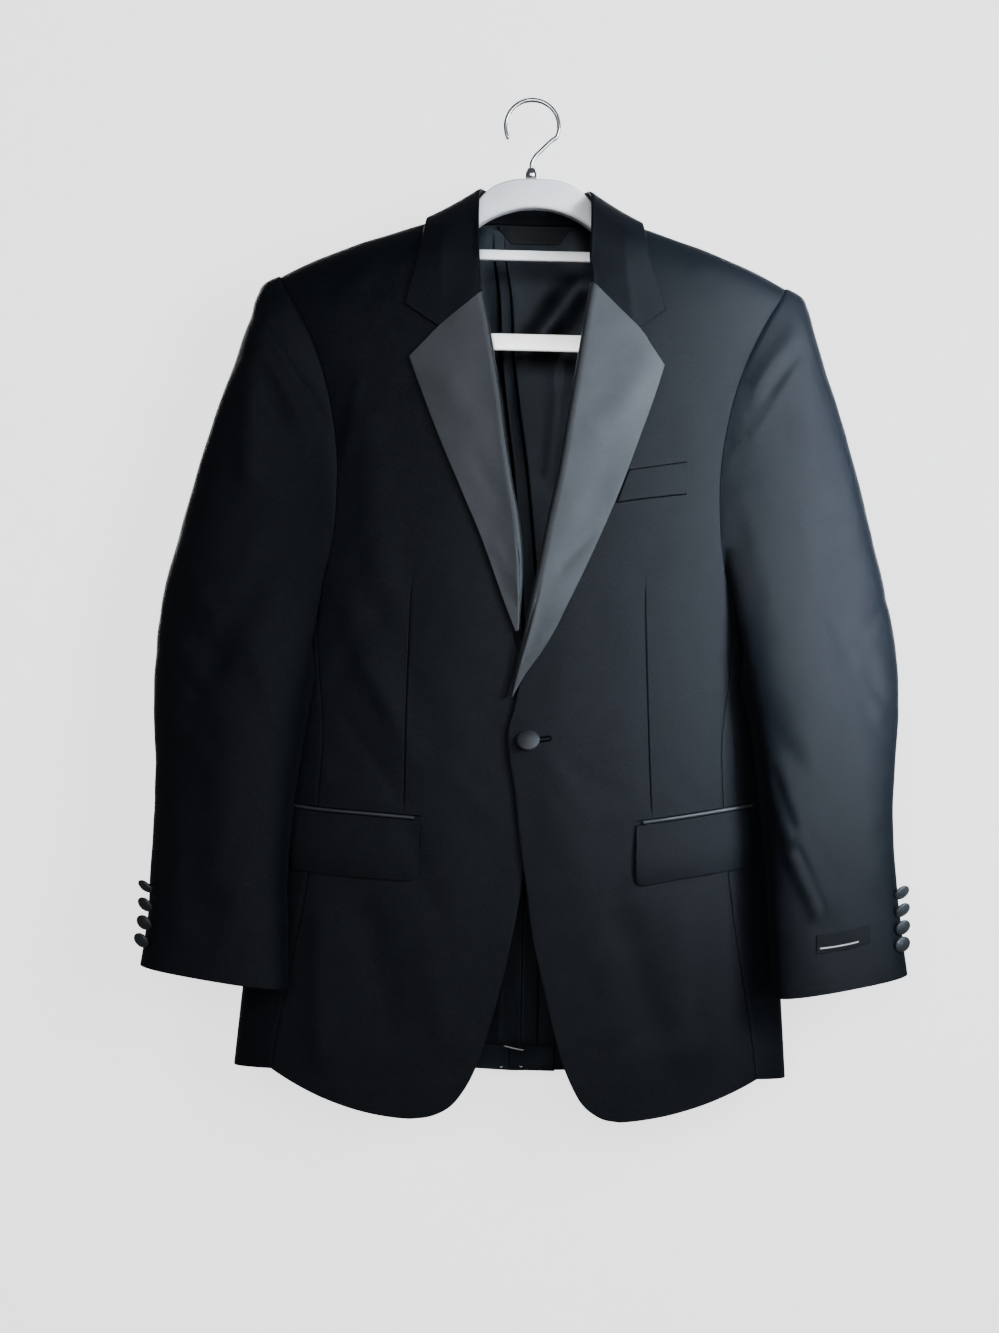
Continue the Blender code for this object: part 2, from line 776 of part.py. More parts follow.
def armhole(side):
    """The closed armhole: down the front, along the side panel and up the back.

    It gives the points, and the direction in the body's surface that leads into the hole."""
    front_points = front_grid(side)[0][ARMHOLE_ROW:, -1][::-1]
    side_points = side_grid(side)[0][-1, 1:-1]
    back_points = back_grid(side)[0][ARMHOLE_ROW:-1, -1]
    loop = np.concatenate([front_points, side_points, back_points])
    along = unit(np.roll(loop, -1, axis=0) - np.roll(loop, 1, axis=0))
    inward = unit(np.cross(along, both_faces(body_normal, loop)))
    to_middle = loop.mean(axis=0) - loop
    inward *= np.sign((inward * to_middle).sum(axis=-1))[:, None]
    return loop, inward


def oval_rings(side, ring, turn):
    """Rings of the sleeve under the armhole, as ovals between their edges."""
    outer, inner = (traced(SLEEVES[side], edge, side, ring) for edge in ("outer", "inner"))
    middle, half = (outer + inner) / 2, (outer - inner) / 2
    ahead = np.array([0.0, -1.0, 0.0])
    square = unit(ahead - (half @ ahead / (half**2).sum(axis=-1))[:, None] * half)
    depth = square * read(SLEEVES[side], "depth", ring)[:, None]
    turned = half[:, None] * np.cos(turn)[:, None] + depth[:, None] * np.sin(turn)[:, None]
    return middle[:, None] + turned


def cap_rings(side, loop, turn, biceps, onward):
    """Rings from the armhole to the biceps. Every column leaves the armhole sideways."""
    share = (np.arange(BICEPS_RING + 1.0) / BICEPS_RING)[:, None, None] ** RING_SPREAD
    length = np.linalg.norm(biceps - loop, axis=-1)
    reach = ease(loop[:, 2], loop[:, 2].min(), loop[:, 2].min() + UNDERARM_RISE)
    leave = UNDERARM_LEAVE * (1 - reach) + CAP_LEAVE * length * reach
    sideways = np.array([side, 0, -CAP_DROP]) + CAP_SWELL * both_faces(body_normal, loop)
    start = unit(sideways) * leave[:, None]
    end = unit(onward) * (CAP_ARRIVE * length)[:, None]
    near = (1 + 2 * share) * (1 - share) ** 2 * loop + share * (1 - share) ** 2 * start
    points = near + share**2 * (3 - 2 * share) * biceps - share**2 * (1 - share) * end
    top = np.clip(np.cos(turn), 0, 1) ** 2
    off = CENTRE + side * read(CAP_OUTLINE, "out", points[:, 0, 2]) - points[:, 0, 0]
    points[..., 0] += off[:, None] * top
    return points


def folded(points, side, turn):
    """The sleeve with its folds, which fade at the seams of the armhole and at the cuff."""
    normals = ring_normals(points, side)
    ring = np.arange(len(points))
    fade = ease(ring, *CAP_FOLDS_FROM) * (1 - ease(ring, *CUFF_FOLDS_TO))
    for face in (FRONT, BACK):
        shown = np.clip(-face * np.sin(turn) * FOLD_WRAP, 0, 1)
        rise = fold_rise(SLEEVE_FOLDS[side], points[..., 0], points[..., 2], face)
        points = points + normals * (rise * shown * fade[:, None])[..., None]
    return points


def ring_normals(points, side):
    """Normals of closed rings."""
    wrapped = np.concatenate([points[:, -1:], points, points[:, :1]], axis=1)
    return grid_normals(wrapped)[:, 1:-1] * side


def sleeve_grid(side):
    """Rings of the whole sleeve, one column for each point of the armhole."""
    loop, inward = armhole(side)
    count = len(loop)
    corners = (CORNER_COLUMN, CORNER_COLUMN + SIDE_COLUMNS)
    turn = np.radians(np.interp(np.arange(count), (0, *corners, count), (0, *CORNER_TURNS, 360)))
    ovals = oval_rings(side, np.arange(BICEPS_RING, CUFF_RING + 1.0), turn)
    cap = cap_rings(side, loop, turn, ovals[0], ovals[1] - ovals[0])
    points = np.concatenate([cap, ovals[1:]])
    below = loop[:, 2].min() - points[..., 2]
    clearance = ARMPIT_CLEAR + (SLEEVE_CLEAR - ARMPIT_CLEAR) * ease(below, 0, CLEAR_DEPTH)
    inner = (points[..., 2] < loop[:, 2]) * (np.cos(turn) < -0.1)
    inner[0] = False
    cleared = pushed_clear(points, clearance)
    return folded(np.where(inner[..., None], cleared, points), side, turn), inward


def sleeve_normals(points, side, inward):
    """Normals of the closed rings. At the armhole the wall's end doesn't lean into the body."""
    normals = ring_normals(points, side)
    lean = np.clip((normals[0] * inward).sum(axis=-1), 0, None)
    normals[0] = unit(normals[0] - inward * lean[:, None])
    return normals


def sleeve(side, material, collection):
    """The top sleeve and the under sleeve of one side."""
    points, inward = sleeve_grid(side)
    normals = sleeve_normals(points, side, inward)
    points[0] += inward * SEAM_GAP
    split = CORNER_COLUMN + FRONT_SEAM_COLUMN
    count = points.shape[1]
    top = np.arange(-BACK_SEAM_COLUMN, split + 1) % count
    under = np.arange(split, count - BACK_SEAM_COLUMN + 1)
    for name, columns in (("top_sleeve", top), ("under_sleeve", under)):
        piece = drawn_in(points[:, columns], ("first_column", "last_column"))
        wall(f"{name}_{SIDE_NAME[side]}", piece, normals[:, columns], WALL, material, collection)


# ---------------------------------------------------------------- lapels and collar


def leaf_lift(share):
    """Height of a leaf over its panel: full at the roll, low at the edge."""
    return LEAF_EDGE_LIFT + (LEAF_ROLL_LIFT - LEAF_EDGE_LIFT) * (1 - share) ** 2


def bent(start, corner, end, share, corner_share, bend):
    """A row from start to end that passes the corner at the corner's share, as far as bend says."""
    straight = start * (1 - share) + end * share
    first = start + (corner - start) * (share / corner_share)
    second = corner + (end - corner) * ((share - corner_share) / (1 - corner_share))
    return straight * (1 - bend) + np.where(share < corner_share, first, second) * bend


def lapel_grid(side, rows=13, columns=LEAF_COLUMNS):
    """The satin leaf from the roll, which it wraps, to its outer edge, and up to the gorge."""
    first, last = LAPEL_ROWS[side]
    row = np.linspace(first + 0.12, last, rows + 1)
    roll = np.stack([read(FRONT_EDGES[side], "x", row), read(FRONT_EDGES[side], "z", row)], axis=-1)
    edge = np.stack([read(LAPEL_EDGES[side], "x", row), read(LAPEL_EDGES[side], "z", row)], axis=-1)
    width = np.linalg.norm(edge - roll, axis=-1)
    notch = np.array(NOTCH[side], float)
    to_notch = np.linalg.norm(notch - roll[-1])
    notch_share = to_notch / (to_notch + np.linalg.norm(edge[-1] - notch))
    wrap = np.clip((width - 6) / 28, 0.04, 1)
    out = ROLL_PROFILE["out"] * wrap[:, None]
    leaf_share = np.linspace(0, 1, columns + 1)[1:]
    start = out[:, -1] / width
    share = np.concatenate([out / width[:, None], start[:, None] + (1 - start[:, None]) * leaf_share], axis=1)
    leaf = leaf_lift(leaf_share) * np.ones((rows + 1, 1))
    height = np.concatenate([ROLL_PROFILE["height"] * wrap[:, None], leaf], axis=1)
    thin = np.clip(width / 20, 0, 1)[:, None]
    height = np.where(height > 0, np.maximum(height * thin, np.minimum(height, LEAF_EDGE_LIFT)), height)
    bend = ease(row, last - 1.0, last)
    bends = zip(roll, edge, share[..., None], bend)
    flat = np.stack([bent(start, notch, end, along, notch_share, turn) for start, end, along, turn in bends])
    points = on_body(flat[..., 0], flat[..., 1], FRONT)
    height = height + lap_lift(side, points)
    return points + body_normal(points, FRONT) * height[..., None]


def lapel(side, material, collection):
    points = drawn_in(lapel_grid(side), ("last_row",))
    normals = grid_normals(points) * -side
    return wall(f"lapel_{SIDE_NAME[side]}", points, normals, SATIN_WALL, material, collection)


def gorge_row(side, shares_of):
    """The collar's end row: from inside the roll along the gorge to the notch and the collar's tip."""
    row = LAPEL_ROWS[side][1]
    roll = np.array([read(FRONT_EDGES[side], "x", row), read(FRONT_EDGES[side], "z", row)])
    notch, tip = np.array(NOTCH[side], float), np.array(COLLAR_TIP[side], float)
    to_notch = np.linalg.norm(notch - roll)
    length = to_notch + np.linalg.norm(tip - notch)
    out, height = shares_of(length)
    flat = bent(roll, notch, tip, (out / length)[:, None], to_notch / length, 1.0)
    points = on_body(flat[:, 0], flat[:, 1], FRONT)
    return points + body_normal(points, FRONT) * (height + lap_lift(side, points))[:, None]


def collar_section(stand, roll, fall):
    """One row of the collar: up the stand, over the roll and down the fall."""
    down = unit(unit(stand - roll) + unit(fall - roll))
    across = unit(fall - stand)
    rise = roll + across * FOLD_PROFILE["across"][:, None] + down * FOLD_PROFILE["down"][:, None]
    low = stand + (rise[0] - stand) * np.array([0, 0.5])[:, None]
    share = np.linspace(0, 1, LEAF_COLUMNS + 1)[1:, None]
    leaf = rise[-1] + (fall - rise[-1]) * share
    return np.concatenate([low, rise, leaf])


def collar_half(side):
    """Rows of one half of the collar, from the gorge to the centre of the back."""
    station = np.linspace(0, COLLAR["station"][-1], COLLAR_STATIONS + 1)
    stand, roll, fall = (traced(COLLAR, edge, side, station) for edge in ("stand", "roll", "fall"))
    stand = at_height(stand, STAND_HEIGHT)
    fall = at_height(fall, FALL_LIFT)
    rows = np.array([collar_section(*edges) for edges in zip(stand, roll, fall)])
    leaf = rows[:, -LEAF_COLUMNS:]
    rows[:, -LEAF_COLUMNS:] = pushed_clear(leaf, FALL_LIFT + FALL_SWELL * np.linspace(1, 0, LEAF_COLUMNS))

    def along_gorge(length):
        first = ROLL_PROFILE["out"][0]
        out = np.concatenate([(first, first * 0.8), ROLL_PROFILE["out"]])
        height = np.concatenate([ROLL_PROFILE["height"][:1] - (0.4, 0.2), ROLL_PROFILE["height"]])
        share = np.linspace(0, 1, LEAF_COLUMNS + 1)[1:]
        out = np.concatenate([out, out[-1] + (length - out[-1]) * share])
        return out, np.concatenate([height, leaf_lift(share) + COLLAR_WALL - SATIN_WALL])

    gorge = gorge_row(side, along_gorge)
    keep = 1 - ease(station, 0, 1.2)
    return rows + keep[:, None, None] * (gorge - rows[0])


def collar(material, collection):
    """The collar, in one piece from gorge to gorge."""
    right, left = collar_half(RIGHT), collar_half(LEFT)
    points = np.concatenate([right, left[-2::-1]])
    points = drawn_in(points, ("first_row", "last_row"))
    return wall("collar", points, -grid_normals(points), COLLAR_WALL, material, collection)


# ---------------------------------------------------------------- lining, pockets and labels


def lining_height(z):
    """The lining hangs free of the back under the neck."""
    return LINING_LIFT - LINING_NECK_FALL * (1 - ease(-z, 150, 230))


def back_lining(material, collection):
    """The lining of the back, with the loose pleat down its middle. It hangs clear of the folds."""
    share = LINING_COLUMNS["share"]

    def across(z):
        return CENTRE + (read(PLEAT, "x", z) - CENTRE) * (1 - np.abs(share)) + LINING_REACH * share

    ends = across(LINING_TOP_Z)
    under = LINING_TUCK + LINING_SLOPE * ease(np.abs(ends - CENTRE), 55, 85)
    top = np.minimum(LINING_TOP_Z, shoulder_z(ends, BACK) - under)
    down = np.linspace(0, 1, 19)[:, None] ** 1.5
    z = top * (1 - down) + LINING_HEM_Z * down
    x = across(z)
    over_vent = ease(-z, -VENT_TOP_Z - 90, -VENT_TOP_Z - 50) * ease(x, -16, 0) * (1 - ease(x, 47, 62))
    pleat = read(PLEAT, "rise", z) * LINING_COLUMNS["ridge"]
    height = lining_height(z) - pleat - over_vent * (WALL + LAY_GAP)
    plain = np.stack([x, body_y(x, z, BACK), z], axis=-1)
    points, normals = lifted(plain, height, BACK), body_normal(plain, BACK)
    return wall("back_lining", points, normals, LINING_WALL, material, collection)


def neck_label(material, collection):
    """A woven label on the lining under the collar, with cut corners."""
    down = np.linspace(0, 1, 4)[:, None]
    x = NECK_LABEL["x"] * np.ones((4, 1))
    z = NECK_LABEL["top_z"] * (1 - down) + NECK_LABEL["bottom_z"] * down
    points, normals = body_patch(x, z, lining_height(z) - LINING_WALL - 2 * LAY_GAP, BACK)
    return wall("neck_label", points, normals, LABEL_WALL, material, collection)


def raised_patch(name, x, z, height, thickness, material, collection):
    """A flat piece laid on a forepart."""
    points, normals = body_patch(x, z, height, FRONT)
    return wall(name, points, normals, thickness, material, collection)


def flap_columns(side):
    """Columns of a flap from its front end, close together round the corner."""
    start, end = FLAP[side]["out"][[0, -1]]
    corner = np.array((0, 0.09, 0.3, 0.6, 1)) * FLAP_CORNER
    return start + np.concatenate([corner, np.linspace(FLAP_CORNER, end - start, 8)[1:]])


def flap(side, material, collection):
    out = flap_columns(side)
    short = np.clip(FLAP_CORNER - (out - out[0]), 0, None)
    rounding = FLAP_CORNER - np.sqrt(np.clip(FLAP_CORNER**2 - short**2, 0, None))
    top = read(FLAP[side], "top_z", out)
    bottom = read(FLAP[side], "bottom_z", out) + rounding
    down = np.linspace(0, 1, 6)[:, None]
    x = CENTRE + side * out * np.ones((6, 1))
    z = top * (1 - down) + bottom * down
    return raised_patch(f"flap_{SIDE_NAME[side]}", x, z, FLAP_LIFT, FLAP_WALL, material, collection)


def jet(side, material, collection):
    """The satin lip of the pocket, just above its flap."""
    out = flap_columns(side)[4:]
    up = np.linspace(1, 0, 2)[:, None]
    z = read(FLAP[side], "top_z", out) + SEAM_GAP + JET_HEIGHT * up
    x = CENTRE + side * out * np.ones((2, 1))
    return raised_patch(f"jet_{SIDE_NAME[side]}", x, z, JET_WALL + LAY_GAP, JET_WALL, material, collection)


def breast_welt(material, collection):
    """The welt of the breast pocket. Its front end follows the lapel's edge."""
    down = np.linspace(0, 1, 4)[:, None]
    out = np.linspace(WELT["out"][0], WELT["out"][-1], 6)
    z = read(WELT, "top_z", out) * (1 - down) + read(WELT, "bottom_z", out) * down
    lean = WELT_LEAN * down * (1 - (out - out[0]) / (out[-1] - out[0]))
    height = WELT_WALL + LAY_GAP
    return raised_patch("breast_welt", CENTRE + out - lean, z, height, WELT_WALL, material, collection)


def on_sleeve(side, x, z):
    """Points and normals on the front of the lower sleeve that are seen at x and z."""
    ring, turn = np.full(x.shape, SLEEVE_LABEL_RING), np.full(x.shape, math.pi / 2)
    step = 0.01

    def place(rings, turns):
        places = zip(rings.reshape(-1, 1), turns.reshape(-1, 1))
        return np.stack([oval_rings(side, one_ring, one_turn)[0, 0] for one_ring, one_turn in places])

    for _ in range(6):
        here, by_ring, by_turn = place(ring, turn), place(ring + step, turn), place(ring, turn + step)
        along, around = (by_ring - here) / step, (by_turn - here) / step
        off_x, off_z = x.ravel() - here[:, 0], z.ravel() - here[:, 2]
        det = along[:, 0] * around[:, 2] - around[:, 0] * along[:, 2]
        ring = ring + ((off_x * around[:, 2] - off_z * around[:, 0]) / det).reshape(x.shape)
        turn = turn + ((off_z * along[:, 0] - off_x * along[:, 2]) / det).reshape(x.shape)
    normals = unit(np.cross(along, around)) * -side
    return here.reshape(*x.shape, 3), normals.reshape(*x.shape, 3)


def sleeve_label(material, collection):
    """A label tacked on the left sleeve over the cuff."""
    down, share = np.linspace(0, 1, 3)[:, None], np.linspace(0, 1, 5)
    x = SLEEVE_LABEL["x"][0] * (1 - share) + SLEEVE_LABEL["x"][1] * share
    top = np.interp(x, SLEEVE_LABEL["x"], SLEEVE_LABEL["top_z"])
    bottom = np.interp(x, SLEEVE_LABEL["x"], SLEEVE_LABEL["bottom_z"])
    z = top * (1 - down) + bottom * down
    points, normals = on_sleeve(LEFT, x * np.ones((3, 1)), z)
    points = points + normals * (LABEL_WALL + LAY_GAP)
    return wall("sleeve_label", points, normals, LABEL_WALL, material, collection)


# ---------------------------------------------------------------- buttons


def button(name, seat, axis, size, material, collection):
    """A covered button, turned about its axis."""
    radius, height, steps = size
    turned = bmesh.new()
    profile = [turned.verts.new((0, 0, 0))]
    for r, h in zip(BUTTON_PROFILE["radius"], BUTTON_PROFILE["height"]):
        profile.append(turned.verts.new((r * radius, 0, h * height)))
    edges = [turned.edges.new(pair) for pair in zip(profile, profile[1:])]
    full = 2 * math.pi
    bmesh.ops.spin(turned, geom=profile + edges, axis=(0, 0, 1), cent=(0, 0, 0), steps=steps, angle=full)
    bmesh.ops.remove_doubles(turned, verts=turned.verts, dist=0.001)
    turn = Vector(axis).to_track_quat("Z", "Y").to_matrix().to_4x4()
    bmesh.ops.transform(turned, matrix=Matrix.Translation(Vector(seat)) @ turn, verts=turned.verts)
    turned.verts.index_update()
    points = [v.co.copy() for v in turned.verts]
    faces = [tuple(v.index for v in f.verts) for f in turned.faces]
    turned.free()
    return mesh_object(name, points, faces, material, collection)


def front_button(material, collection):
    place = on_body(np.array([FRONT_BUTTON["x"]]), np.array([FRONT_BUTTON["z"]]), FRONT)
    axis = body_normal(place, FRONT)[0]
    seat = place[0] + axis * (lap_lift(LEFT, place)[0] + BUTTON_GAP)
    size = (FRONT_BUTTON["radius"], FRONT_BUTTON["height"], FRONT_BUTTON["steps"])
    return button("front_button", seat, axis, size, material, collection)


def sleeve_buttons(side, material, collection):
    """Four buttons up the outer edge of a sleeve over the cuff."""
    points, inward = sleeve_grid(side)
    normals = sleeve_normals(points, side, inward)
    first, share = int(SLEEVE_BUTTON_COLUMN), SLEEVE_BUTTON_COLUMN % 1
    column = points[:, first] * (1 - share) + points[:, first + 1] * share
    facing = unit(normals[:, first] * (1 - share) + normals[:, first + 1] * share)
    for number, z in enumerate(SLEEVE_BUTTON_Z[side], 1):
        seat = np.array([np.interp(-z, -column[:, 2], column[:, k]) for k in range(3)])
        axis = unit(np.array([np.interp(-z, -column[:, 2], facing[:, k]) for k in range(3)]))
        name = f"sleeve_button_{SIDE_NAME[side]}_{number}"
        button(name, seat + axis * BUTTON_GAP, axis, SLEEVE_BUTTON_SIZE, material, collection)


# ---------------------------------------------------------------- hanger


def rounded_box_ring(x, y_half, top, under, corner):
    """A closed ring of eight points in the plane of X."""
    y, c = y_half, min(corner, y_half * 0.6, (top - under) * 0.4)
    upper = ((y, top - c), (y - c, top), (c - y, top), (-y, top - c))
    lower = ((-y, under + c), (c - y, under), (y - c, under), (y, under + c))
    return [np.array((x, a, b)) for a, b in upper + lower]


def hanger_body(material, collection):
    out = HANGER["out"]
    sides = np.concatenate([-out[:0:-1], out])
    rings = []
    for o in sides:
        top, under, depth = (read(HANGER, column, abs(o)) for column in ("top", "under", "half_depth"))
        rings.append(rounded_box_ring(CENTRE + o, depth, top, under, HANGER_CORNER))
    return lofted("hanger_body", rings, material, collection)


def hanger_crossbar(material, collection):
    """The bar across the arch. Its ends are cut along the arms' undersides."""
    z, half, depth = CROSSBAR["z"], CROSSBAR["height"] / 2, CROSSBAR["depth"] / 2
    rings = []
    for side in (RIGHT, LEFT):
        ring = rounded_box_ring(0, depth, z + half, z - half, BAR_CORNER)
        for point in ring:
            reach = np.interp(-(point[2] + BAR_GAP), -HANGER["under"], HANGER["out"])
            point[0] = CENTRE + side * (reach - BAR_GAP)
        rings.append(ring)
    return lofted("hanger_crossbar", rings, material, collection)


def trouser_bar(material, collection):
    """The lower bar, which rises at both ends to the tips of the arms."""
    half, depth = TROUSER_BAR["height"] / 2, TROUSER_BAR["depth"] / 2
    out, z = TROUSER_BAR_PATH["out"], TROUSER_BAR_PATH["z"]
    x = np.concatenate([-out[:0:-1], out])
    z = np.concatenate([z[:0:-1], z])
    path = np.stack([CENTRE + x, np.zeros_like(x), z], axis=-1)
    along = unit(np.gradient(path, axis=0))
    rings = []
    for place, direction in zip(path, along):
        across = np.cross(direction, (0, -1, 0))
        wide = half * (1 - BAR_TAPER * abs(direction[2]))
        flat = rounded_box_ring(0, depth, wide, -wide, BAR_CORNER)
        rings.append([place + across * p[2] + np.array((0, p[1], 0)) for p in flat])
    return lofted("trouser_bar", rings, material, collection)


def hanger_boss(material, collection):
    """The collar that holds the hook's stem."""
    turns = np.linspace(0, 2 * math.pi, 17)[:-1]
    rings = [
        [np.array((r * math.cos(t), r * math.sin(t), z)) for t in turns]
        for z, r in zip(BOSS["z"], BOSS["radius"])
    ]
    return lofted("hanger_boss", rings, material, collection)


def hook(material, collection):
    """The bent wire from which the hanger hangs."""
    turns = np.radians(np.linspace(*HOOK_TURNS, 17))
    arc_x, arc_z = HOOK_RADIUS * np.cos(turns), HOOK_CROWN_Z + HOOK_RADIUS * np.sin(turns)
    arc = np.stack([arc_x, np.zeros_like(turns), arc_z], axis=-1)
    stem = np.stack([HOOK_STEM["x"], np.zeros(len(HOOK_STEM["x"])), HOOK_STEM["z"]], axis=-1)
    path = np.concatenate([stem, arc])
    along = unit(np.gradient(path, axis=0))
    around = np.linspace(0, 2 * math.pi, 11)[:-1, None]
    back = np.array((0.0, 1.0, 0.0))
    rings = []
    for place, direction in zip(path, along):
        across = np.cross(direction, back)
        rings.append(list(place + HOOK_WIRE * (np.cos(around) * across + np.sin(around) * back)))
    return lofted("hook", rings, material, collection)


# ---------------------------------------------------------------- materials


def finish(name, colour, roughness, metallic=0.0, sheen=0.0):
    made = bpy.data.materials.new(name)
    made.use_nodes = True
    shader = made.node_tree.nodes["Principled BSDF"]
    shader.inputs["Base Color"].default_value = (*colour, 1)
    shader.inputs["Roughness"].default_value = roughness
    shader.inputs["Metallic"].default_value = metallic
    shader.inputs["Sheen Weight"].default_value = sheen
    return made


def clear_scene():
    for item in list(bpy.data.objects):
        bpy.data.objects.remove(item, do_unlink=True)


def main():
    clear_scene()
    collection = bpy.data.collections.new("tuxedo_jacket")
    bpy.context.scene.collection.children.link(collection)
    wool = finish("wool", (0.018, 0.021, 0.026), 0.8, sheen=0.3)
    satin = finish("satin", (0.03, 0.032, 0.036), 0.38)
    lining = finish("lining", (0.02, 0.02, 0.023), 0.45)
    woven = finish("woven_label", (0.015, 0.015, 0.017), 0.6)
    plastic = finish("white_plastic", (0.8, 0.82, 0.84), 0.35)
    steel = finish("hook_steel", (0.62, 0.63, 0.65), 0.25, metallic=1.0)
    for side in (RIGHT, LEFT):
        front(side, wool, collection)
        side_panel(side, wool, collection)
        back(side, wool, collection)
        sleeve(side, wool, collection)
        lapel(side, satin, collection)
        flap(side, wool, collection)
        jet(side, satin, collection)
        sleeve_buttons(side, satin, collection)
    collar(wool, collection)
    vent_underlap(wool, collection)
    back_lining(lining, collection)
    neck_label(woven, collection)
    breast_welt(wool, collection)
    sleeve_label(woven, collection)
    front_button(satin, collection)
    hanger_body(plastic, collection)
    hanger_crossbar(plastic, collection)
    trouser_bar(plastic, collection)
    hanger_boss(steel, collection)
    hook(steel, collection)


main()
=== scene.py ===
import json
import math

import bmesh
import bpy
import numpy as np
from mathutils import Matrix, Vector

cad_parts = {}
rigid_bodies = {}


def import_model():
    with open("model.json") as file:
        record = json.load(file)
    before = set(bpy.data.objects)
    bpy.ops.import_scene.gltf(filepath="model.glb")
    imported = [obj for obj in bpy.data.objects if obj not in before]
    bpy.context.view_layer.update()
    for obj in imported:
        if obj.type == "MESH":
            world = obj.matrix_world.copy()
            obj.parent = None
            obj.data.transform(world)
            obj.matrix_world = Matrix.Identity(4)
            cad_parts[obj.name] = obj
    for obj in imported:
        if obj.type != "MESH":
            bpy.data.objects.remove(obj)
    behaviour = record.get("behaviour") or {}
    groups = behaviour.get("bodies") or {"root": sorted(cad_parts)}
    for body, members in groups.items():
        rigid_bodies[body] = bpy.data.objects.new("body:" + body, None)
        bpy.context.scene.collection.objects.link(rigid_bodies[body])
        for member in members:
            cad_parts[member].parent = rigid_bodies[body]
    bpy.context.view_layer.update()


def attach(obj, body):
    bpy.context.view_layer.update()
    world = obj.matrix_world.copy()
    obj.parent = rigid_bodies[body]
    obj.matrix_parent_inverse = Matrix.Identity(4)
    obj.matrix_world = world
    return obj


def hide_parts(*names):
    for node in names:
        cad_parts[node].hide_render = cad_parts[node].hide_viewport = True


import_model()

bl_info = {
    "name": "Tuxedo jacket on a hanger",
    "version": (1, 0, 0),
    "blender": (4, 5, 0),
    "location": "View3D > Sidebar > Tuxedo",
    "description": "Dresses the jacket's solids with fine cloth, stitching, buttons and a studio",
    "category": "Object",
}

# Lengths are in millimetres until a mesh is made. X runs to the wearer's left, the front faces -Y and
# Z is up. side is -1 for the wearer's right and +1 for the left.
MM = 0.001
TAU = 2 * math.pi
RIGHT, LEFT = -1, 1
SIDE_NAME = {RIGHT: "right", LEFT: "left"}
FRONT, BACK = -1, 1


def table(columns, *rows):
    """A short table as a dictionary of named columns."""
    return dict(zip(columns.split(), np.array(rows, float).T))


# The hanging body.
CENTRE = 4.0  # x of the jacket's centre line
ROUNDNESS = 2.5  # power of the rounded sections, 2 for an ellipse
SHOULDER_DROP = 130.0  # height over which the chest rounds up into the shoulder line

BODY = table(
    "z half_width centre front back",
    (-60, 330, 4, 64, 58), (-120, 300, 4, 66, 60), (-165, 266, 4, 67, 60), (-200, 241, 4, 68, 60),
    (-250, 215, 4, 69, 60), (-300, 204, 4, 69, 60), (-350, 202, 4, 68, 58), (-400, 206, 4, 67, 56),
    (-450, 212, 4, 65, 53), (-500, 215, 4, 61, 49), (-560, 218, 3, 58, 46), (-640, 224, 2, 55, 45),
    (-740, 236, 1, 52, 46), (-910, 251, 0, 47, 47),
)
SHOULDER_LINE = table(
    "out front_z back_z",
    (0, -84, -55), (25, -86, -58), (45, -92, -70), (60, -99, -88), (72, -107, -107), (95, -113, -113),
    (130, -124.5, -124.5), (152, -131.5, -131.5), (170, -138.5, -138.5), (196, -149, -149), (226, -164, -164),
    (270, -192, -192),
)

# The seams that the body's pieces share. A row counts up from the hem: the hem is row 0, the
# armhole starts at row 15 and the shoulder seam is row 27.
ARMHOLE_ROW, TOP_ROW = 15, 27
CORNER_COLUMN = TOP_ROW - ARMHOLE_ROW + 1  # of the sleeve, at the armhole's lower front corner
SIDE_COLUMNS = 6
SEAMS = table(
    "row front_out front_z back_out back_z",
    (0, 215, -868, 205, -874), (2, 211, -842, 201, -846), (5, 203, -796, 194, -798),
    (8, 186, -700, 182, -700), (10, 178, -626, 176, -626), (12, 176, -553, 176, -553),
    (13, 181, -507, 184, -505), (14, 182, -461, 193, -456), (15, 174, -421, 197, -410),
    (16, 169.5, -392, 186, -386), (17, 167.8, -362, 177, -361), (18, 168, -333, 172, -333),
    (19, 171, -305, 172, -304), (20, 176, -279, 175, -278), (21, 183, -253, 180, -253),
    (22, 191, -231, 187, -231), (23, 200, -212, 195, -212), (24, 209, -195, 204, -195),
    (25, 216.5, -183, 212, -183), (26, 222.5, -173, 219, -173), (27, 226, -164, 226, -164),
)
ARMPIT_DIP = 13.0  # the armhole's bottom lies this far under the seams beside it
HEM_BOW = {RIGHT: 9.0, LEFT: 7.0}  # the foreparts' hems curve down between seam and front edge
HEM_BOW_ROWS = 4.0

